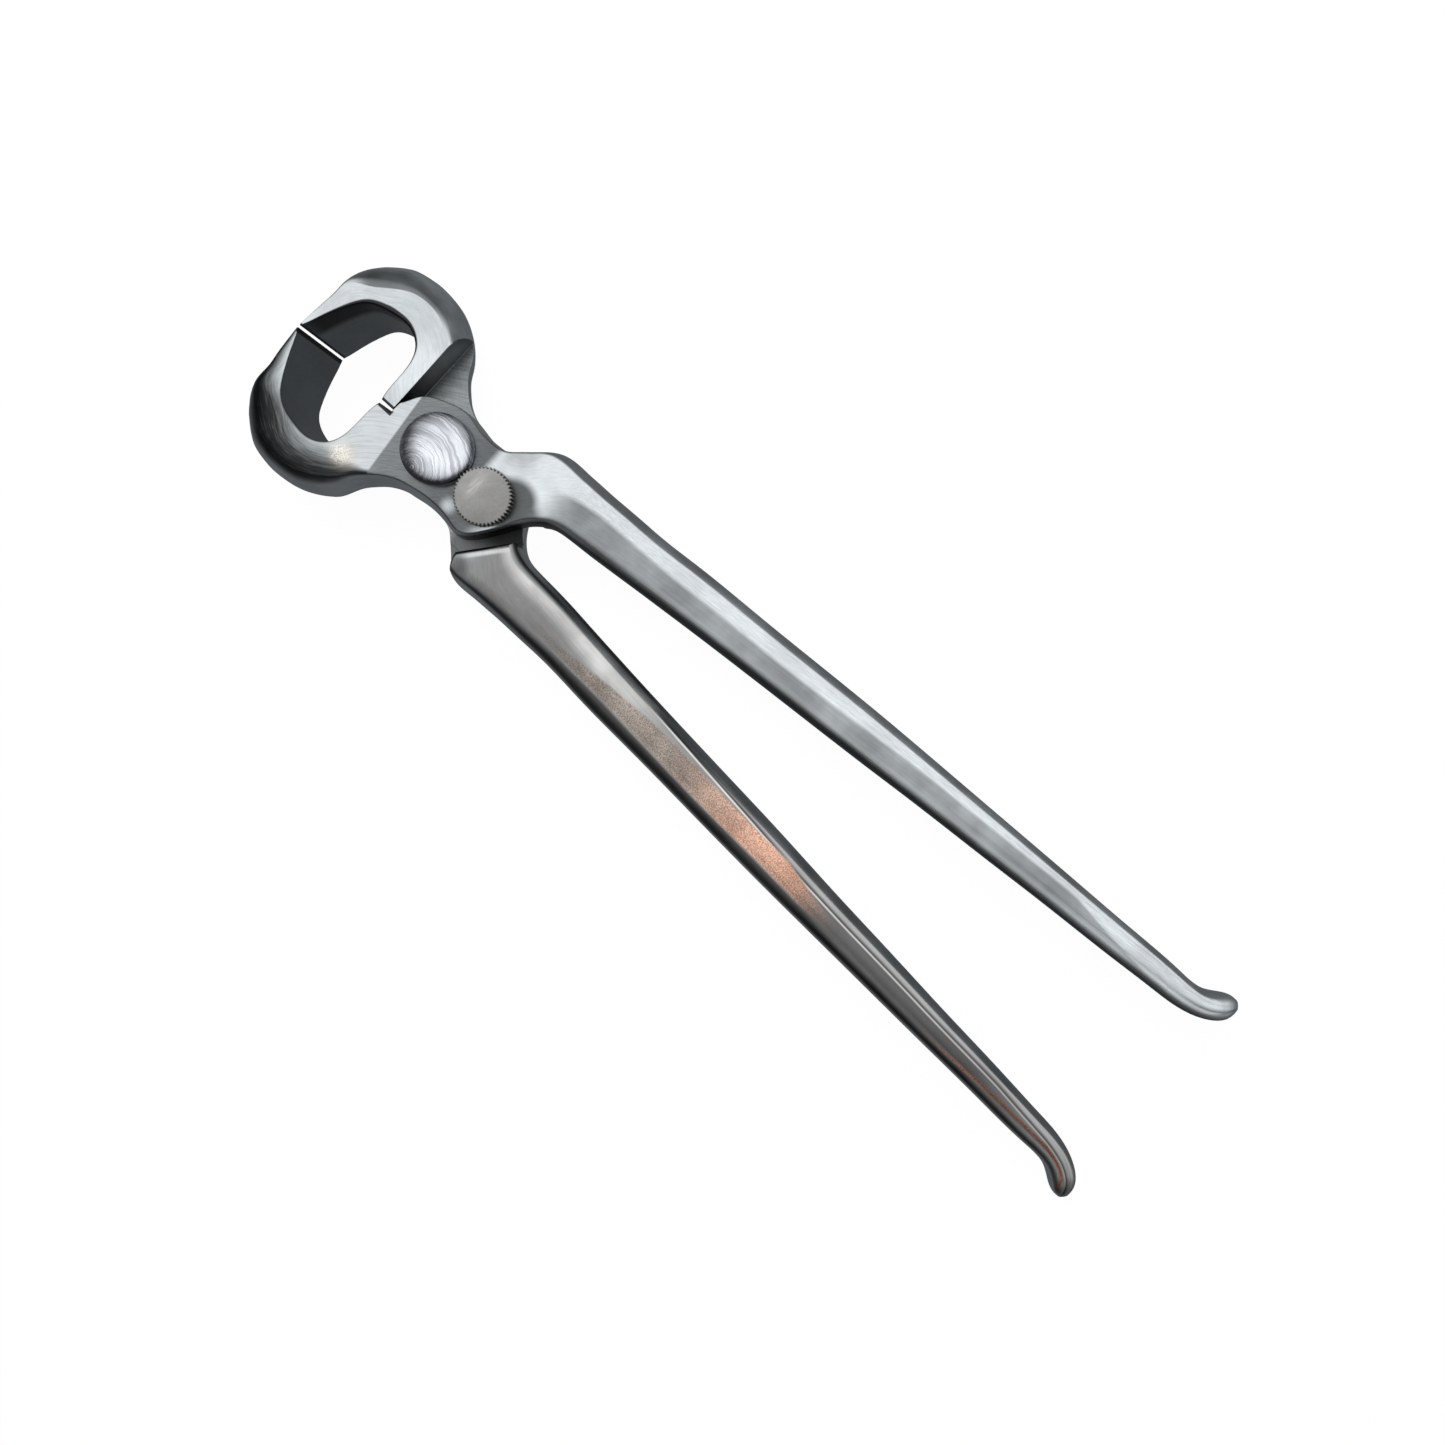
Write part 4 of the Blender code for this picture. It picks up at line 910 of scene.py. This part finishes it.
def knob_steel():
    shader = new_shader("knurled_matte_steel")
    place = shader.place()
    x, y, _ = shader.split(place)
    grit = shader.noise(place, scale=3.2, detail=4.0, rough=0.65)
    fine = shader.noise(place, scale=9.0, detail=3.0, rough=0.6)
    patch = shader.noise(place, scale=0.22, detail=3.0, rough=0.6)
    bright = patch.span(0.3, 0.7, to=(0.85, 1.08)) * grit.span(0.3, 0.7, to=(0.88, 1.1))
    dx, dy = x - STOP_AT[0], y - STOP_AT[1]
    # painted shade in the grooves; painted light brightens the forward side, with a streak of
    # painted sparkle
    teeth = (dy.math("ARCTAN2", dx) * float(KNOB_TEETH)).math("COSINE")
    groove_shade = distance(dx, dy).span(KNOB_R - 1.05, KNOB_R - 0.65) * teeth.span(-0.3, 0.4)
    bright = blend(groove_shade, bright, 0.1) * dy.span(-6.0, 7.0, to=(0.86, 1.25))
    sparkle = shader.streaks(x * 0.25, y * 2.2, 0.0, detail=2.0, rough=0.5).span(0.3, 0.65)
    painted_glint = dy.band(2.8, 4.6, soft=1.6) * dx.band(-2.8, 4.0, soft=2.4) * sparkle
    return shader.metal(
        colour=(0.34, 0.335, 0.325),
        bright=blend(painted_glint, bright, 2.1),
        metallic=0.85,
        roughness=patch.span(0.3, 0.7, to=(0.42, 0.55)),
        height=grit * 0.7 + fine * 0.4,
        relief=0.00025, strength=0.4, rounding=0.00015,
    )


# ---------------------------------------------------------------- the halves
def paint_coordinates(obj, rows, at, side):
    """Stores where each vertex lies along and across the half, for the grinding lines and the
    painted light and shade.
    """
    points = np.array([v.co for v in obj.data.vertices], float).reshape(-1, 3) * 1000.0
    start, end = rows[:, 0:2], rows[:, 2:4]
    width = np.linalg.norm(end - start, axis=1)
    ex, ey = ((end - start) / width[:, None]).T
    last = len(at) - 1
    batches = []
    for first in range(0, len(points), 4000):
        batch = points[first:first + 4000]
        dx = batch[:, 0, None] * side - start[None, :, 0]
        dy = batch[:, 1, None] - start[None, :, 1]
        across = dx * ex + dy * ey
        off = dx * -ey + dy * ex
        # stations whose section the point lies well outside score badly
        outside = np.maximum(0, -across - 10.5) + np.maximum(0, across - width - 3.5)
        score = np.abs(off) + 3 * outside
        best = np.argmin(score, axis=1)
        i = np.arange(len(best))
        after, before = np.clip(best + 1, 0, last), np.clip(best - 1, 0, last)
        beside = np.where(score[i, after] < score[i, before], best + 1, best - 1)
        beside = np.clip(beside, 0, last)
        gap = off[i, best] - off[i, beside]
        apart = np.abs(gap) > 1e-9
        share = np.clip(np.where(apart, off[i, best] / np.where(apart, gap, 1), 0), 0, 1)
        batches.append([
            here + (there - here) * share
            for here, there in (
                (at[best], at[beside]),
                (across[i, best], across[i, beside]),
                (width[best], width[beside]),
            )
        ])
    for name, values in zip(("along", "across", "wide"), np.concatenate(batches, axis=1)):
        attribute = obj.data.attributes.new(name, "FLOAT", "POINT")
        attribute.data.foreach_set("value", values.astype(np.float32))


def make_half(name, material, turn_over):
    """One half; the rear one is turned over about the Y axis."""
    side = -1 if turn_over else 1
    at, rows, crowns = spread_stations(side)
    loops = [section_ring(row, float(crown)) for row, crown in zip(rows, crowns)]
    half = skin(name, loops, turn_caps=True)
    recess = recess_cutter(name + "_recess")
    corner = corner_cutter(name + "_corner")
    throat = throat_cutter(name + "_throat", side)
    for obj in (half, recess, corner, throat):
        if turn_over:
            obj.data.transform(Matrix.Rotation(math.pi, 4, "Y"))
        lift(obj)
    if turn_over:
        bore = circle((0, 0), BOLT_R + BORE_GAP, 96)
        holes = (
            ("bore_cut", bore, -THROUGH, THROUGH),
            ("spot_cut", circle((0, 0), SPOT_R, 96), -THROUGH, SPOT_FLOOR),
            ("pocket_cut", pocket_outline(), -POCKET_DEEP, 5),
        )
    else:
        screw_hole = circle(STOP_AT, SCREW_R + BORE_GAP, 64)
        holes = (
            ("neck_cut", square(NECK_SQ + 2 * BORE_GAP), -THROUGH, THROUGH),
            ("screw_cut", screw_hole, -THROUGH, THROUGH),
        )
    cut(half, [recess, throat] + [lift(prism(*hole)) for hole in holes] + [corner])
    paint_coordinates(half, rows, at, side)
    return dress(half, material, 24)


# ---------------------------------------------------------------- pivot parts
def make_bolt():
    """Domed head, round shank and thinner tail, with a square neck joined on."""
    rim_top = HEAD_LOW + HEAD_RIM
    profile = []
    for i in range(49):
        turn = math.pi / 2 * i / 48
        profile.append((HEAD_R * math.sin(turn), rim_top + HEAD_DOME * math.cos(turn)))
    profile += [
        (HEAD_R, HEAD_LOW + HEAD_CHAMFER), (HEAD_R - HEAD_CHAMFER, HEAD_LOW),
        (BOLT_R, HEAD_LOW), (BOLT_R, SPOT_FLOOR), (TAIL_R, SPOT_FLOOR),
        (TAIL_R, -MID + TAIL_CHAMFER), (TAIL_R - TAIL_CHAMFER, -MID), (0, -MID),
    ]
    bolt = lift(turned("pivot_bolt_domed", profile, ROUND_STEPS))
    neck = prism("bolt_neck", square(NECK_SQ), NECK_LOW, HEAD_LOW + NECK_SUNK)
    cut(bolt, [lift(neck)], "UNION")
    return dress(bolt, dome_steel(), 28)


def make_washer():
    top, bottom, r = WASHER_TOP, WASHER_TOP - WASHER_T, WASHER_ROUND
    profile = [(TAIL_HOLE, bottom + r), (TAIL_HOLE, top - r)]
    for x, z, start in (
        (TAIL_HOLE + r, top - r, 180), (WASHER_R - r, top - r, 90),
        (WASHER_R - r, bottom + r, 0), (TAIL_HOLE + r, bottom + r, 270),
    ):
        profile += arc((x, z), r, start, start - 90, 4)
    washer = lift(turned("thrust_washer_ring", profile + [profile[0]], ROUND_STEPS))
    return dress(washer, plain_steel("washer_ground", (0.5, 0.51, 0.52), 0.36), 30)


def make_disc_spring():
    """A shallow cone, lower at its hole."""
    top = DISC_TOP
    hole_top = top - DISC_CONE
    hole_low = hole_top - DISC_T
    disc = lift(turned("disc_spring_cone", [
        (TAIL_HOLE, hole_low), (TAIL_HOLE, hole_top), (DISC_R - 0.2, top - 0.01),
        (DISC_R, top - 0.2), (DISC_R, top - DISC_T + 0.1), (DISC_R - 0.15, top - DISC_T),
        (TAIL_HOLE, hole_low),
    ], ROUND_STEPS))
    return dress(disc, plain_steel("spring_blued", (0.16, 0.165, 0.18), 0.34), 30)


def make_nut():
    """A chamfered round blank cut to a hexagon."""
    corner = NUT_AF / 2 / math.cos(math.pi / 6)
    nut = lift(turned("pivot_nut_hexagon", [
        (TAIL_HOLE, NUT_LOW + 0.5), (TAIL_HOLE, NUT_TOP - 0.4), (TAIL_HOLE + 0.4, NUT_TOP),
        (corner - 1.3, NUT_TOP), (corner, NUT_TOP - 0.7), (corner, NUT_LOW + 0.7),
        (corner - 1.3, NUT_LOW), (TAIL_HOLE + 0.5, NUT_LOW), (TAIL_HOLE, NUT_LOW + 0.5),
    ], 192))
    hexagon = arc((0, 0), corner, NUT_TURN, NUT_TURN + 360, 6)[:-1]
    cut(nut, [lift(prism("nut_flats", hexagon, NUT_LOW - 3, NUT_TOP + 3))], "INTERSECT")
    return dress(nut, plain_steel("nut_turned", (0.55, 0.56, 0.57), 0.34), 24)


# ---------------------------------------------------------------- stop screw
def knurl(radius, z, deep):
    """Outline of the knurled rim with rounded crests."""
    tooth_steps = 8
    outline = []
    for i in range(tooth_steps * KNOB_TEETH):
        phase = (i % tooth_steps) / tooth_steps
        r = radius - deep * (0.5 + 0.5 * math.cos(2 * math.pi * phase))
        turn = 2 * math.pi * i / (tooth_steps * KNOB_TEETH)
        outline.append((STOP_AT[0] + r * math.cos(turn), STOP_AT[1] + r * math.sin(turn), z))
    return outline


def make_stop_screw():
    rim_top = KNOB_LOW + KNOB_RIM
    dome_foot = KNOB_R - 0.5
    rings = [knurl(*level) for level in (
        (KNOB_R - 0.6, KNOB_LOW, 0.0),
        (KNOB_R - 0.15, KNOB_LOW + 0.3, KNOB_DEEP * 0.6),
        (KNOB_R, KNOB_LOW + 0.5, KNOB_DEEP),
        (KNOB_R, rim_top - 0.5, KNOB_DEEP),
        (KNOB_R - 0.08, rim_top - 0.28, KNOB_DEEP * 0.8),
        (KNOB_R - 0.26, rim_top - 0.1, KNOB_DEEP * 0.4),
        (dome_foot, rim_top, 0.0),
    )]
    dome_r = (dome_foot**2 + KNOB_DOME**2) / (2 * KNOB_DOME)
    for i in range(1, 14):
        turn = math.asin(dome_foot / dome_r) * (1 - i / 14)
        z = rim_top + KNOB_DOME - dome_r * (1 - math.cos(turn))
        rings.append(knurl(dome_r * math.sin(turn), z, 0.0))
    knob = lift(skin("stop_screw_knurled", rings))
    shank_top = KNOB_LOW + 0.6
    shank = [
        (0, shank_top), (SCREW_R, shank_top), (SCREW_R, NECK_LOW), (DOG_R, NECK_LOW - 0.5),
        (DOG_R, -DOG_DEEP + DOG_CHAMFER), (DOG_R - DOG_CHAMFER, -DOG_DEEP), (0, -DOG_DEEP),
    ]
    cut(knob, [lift(turned("screw_shank", shank, 64, centre=STOP_AT))], "UNION")
    return dress(knob, knob_steel(), 30)


def make_split_washer():
    outline = arc(STOP_AT, SPLIT_R, SPLIT_FROM, SPLIT_TO, 90)
    outline += arc(STOP_AT, SCREW_R + GAP + 0.1, SPLIT_TO, SPLIT_FROM, 90)
    split = lift(prism("stop_spring_washer_split", outline, LAP + GAP, KNOB_LOW - GAP))
    steel = plain_steel("lock_washer_blued", (0.17, 0.17, 0.18), 0.36, ring_relief=0.1)
    return dress(split, steel, 30)


# ---------------------------------------------------------------- studio
def floor_paper():
    """White to the camera, dim and bluish to every other ray."""
    shader = new_shader("white_floor")
    grain = shader.noise(shader.place(), scale=0.02, detail=2.0, rough=0.5)
    grain = grain.span(0.3, 0.7, to=(0.995, 1.0))
    paper = shader.tree.nodes["Principled BSDF"]
    paper.inputs["Roughness"].default_value = 0.9
    shader.put(paper.inputs["Base Color"], shader.scaled((0.9, 0.9, 0.9), grain))
    glow, dim = (
        shader.add("ShaderNodeEmission", {"Color": colour, "Strength": strength})
        for colour, strength in (((1, 1, 1, 1), 1.0), ((0.9, 0.95, 1.0, 1), 0.13))
    )
    seen = shader.mix_shader(0.97, Signal(shader, paper.outputs[0]), glow)
    by_camera = shader.add("ShaderNodeLightPath", output="Is Camera Ray")
    both = shader.mix_shader(by_camera, dim, seen)
    shader.put(shader.tree.nodes["Material Output"].inputs["Surface"], both)
    return shader.owner


def make_floor():
    bm = bmesh.new()
    bmesh.ops.create_grid(bm, x_segments=1, y_segments=1, size=2.5)
    floor = add_mesh("studio_floor", bm)
    floor.location = (0, 0, CAD_BOX[0][2] - 0.0005)
    floor.data.materials.append(floor_paper())


# Brightness of the sky by height: (Z of the direction, value)
DARK_SIDE = (
    (0.0, 0.10), (0.12, 0.06), (0.35, 0.015), (0.55, 0.04), (0.72, 0.5), (0.85, 0.95), (1.0, 1.0),
)
LIGHT_SIDE = (
    (0.0, 0.10), (0.12, 0.12), (0.35, 0.28), (0.55, 0.55), (0.72, 0.9), (0.85, 1.0), (1.0, 1.0),
)


def height_ramp(shader, height, stops):
    signal = shader.add("ShaderNodeValToRGB", {0: height})
    ramp = signal.socket.node.color_ramp
    ramp.interpolation = "B_SPLINE"
    for k, (position, value) in enumerate(stops):
        element = ramp.elements[k] if k < 2 else ramp.elements.new(position)
        element.position = position
        element.color = (value, value * 1.01, value * 1.02, 1)
    return signal


def make_world():
    """A soft overhead light, with a paler side towards +X and a dark side towards -X."""
    world = bpy.data.worlds.new("studio")
    bpy.context.scene.world = world
    shader = Shader(world)
    x, _, z = shader.split(shader.add("ShaderNodeTexCoord", output="Generated"))
    dark = height_ramp(shader, z, DARK_SIDE)
    light = height_ramp(shader, z, LIGHT_SIDE)
    sky = shader.mix(x.span(-0.35, 0.35), dark, light)
    background = shader.tree.nodes["Background"]
    shader.put(background.inputs["Color"], sky)
    background.inputs["Strength"].default_value = 1.2
    # a plain white backdrop beyond the floor's edge
    backdrop = shader.add("ShaderNodeBackground", {"Color": (1, 1, 1, 1)})
    by_camera = shader.add("ShaderNodeLightPath", output="Is Camera Ray")
    both = shader.mix_shader(by_camera, Signal(shader, background.outputs[0]), backdrop)
    shader.put(shader.tree.nodes["World Output"].inputs["Surface"], both)


def make_key_light():
    light = bpy.data.lights.new("key", "AREA")
    light.energy = 6.0
    light.shape = "RECTANGLE"
    light.size, light.size_y = 0.5, 0.35
    key = bpy.data.objects.new("key", light)
    key.visible_glossy = False
    bpy.context.scene.collection.objects.link(key)
    key.location = (0.25, 0.35, 0.7)
    aim = Vector((0.0, -0.08, 0.0))
    key.rotation_euler = (aim - key.location).to_track_quat("-Z", "Y").to_euler()


def make_camera():
    """Looks straight down, turned so that its own +X lies along picture_right."""
    picture_right = (0.6762, -0.7367)
    above_joint = 292.3
    lens = bpy.data.cameras.new("camera")
    camera = bpy.data.objects.new("camera", lens)
    bpy.context.scene.collection.objects.link(camera)
    camera.location = (0.01549, -0.11119, (above_joint + MID) * MM)
    camera.rotation_euler = (0, 0, math.atan2(picture_right[1], picture_right[0]))
    lens.sensor_width = 36.0
    lens.lens = 23.219377
    lens.shift_x = -0.014878893
    lens.shift_y = -0.042560554
    lens.clip_start = 0.01
    bpy.context.scene.camera = camera


# ---------------------------------------------------------------- assembly
front_steel = forged_steel("ground_steel_front", front_looks)
rear_steel = forged_steel("ground_steel_rear", rear_looks)

# piece, CAD node it replaces, body it rides on, material slot
for piece, node, body, slot in (
    (make_half("front_half_forging", front_steel, False),
     "front_half", "front", "forged_steel_front"),
    (make_half("rear_half_forging", rear_steel, True),
     "rear_half", "rear", "forged_steel_rear"),
    (make_bolt(), "pivot_bolt", "front", "bolt_steel"),
    (make_washer(), "thrust_washer", "front", "washer_steel"),
    (make_disc_spring(), "disc_spring", "front", "spring_steel"),
    (make_nut(), "pivot_nut", "front", "nut_steel"),
    (make_stop_screw(), "stop_screw", "stop_screw", "knurled_steel"),
    (make_split_washer(), "stop_spring_washer", "front", "lock_washer_steel"),
):
    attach(piece, body)
    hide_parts(node)

make_floor()
make_world()
make_key_light()
make_camera()
bpy.context.scene.view_settings.view_transform = "Standard"

bpy.context.view_layer.update()
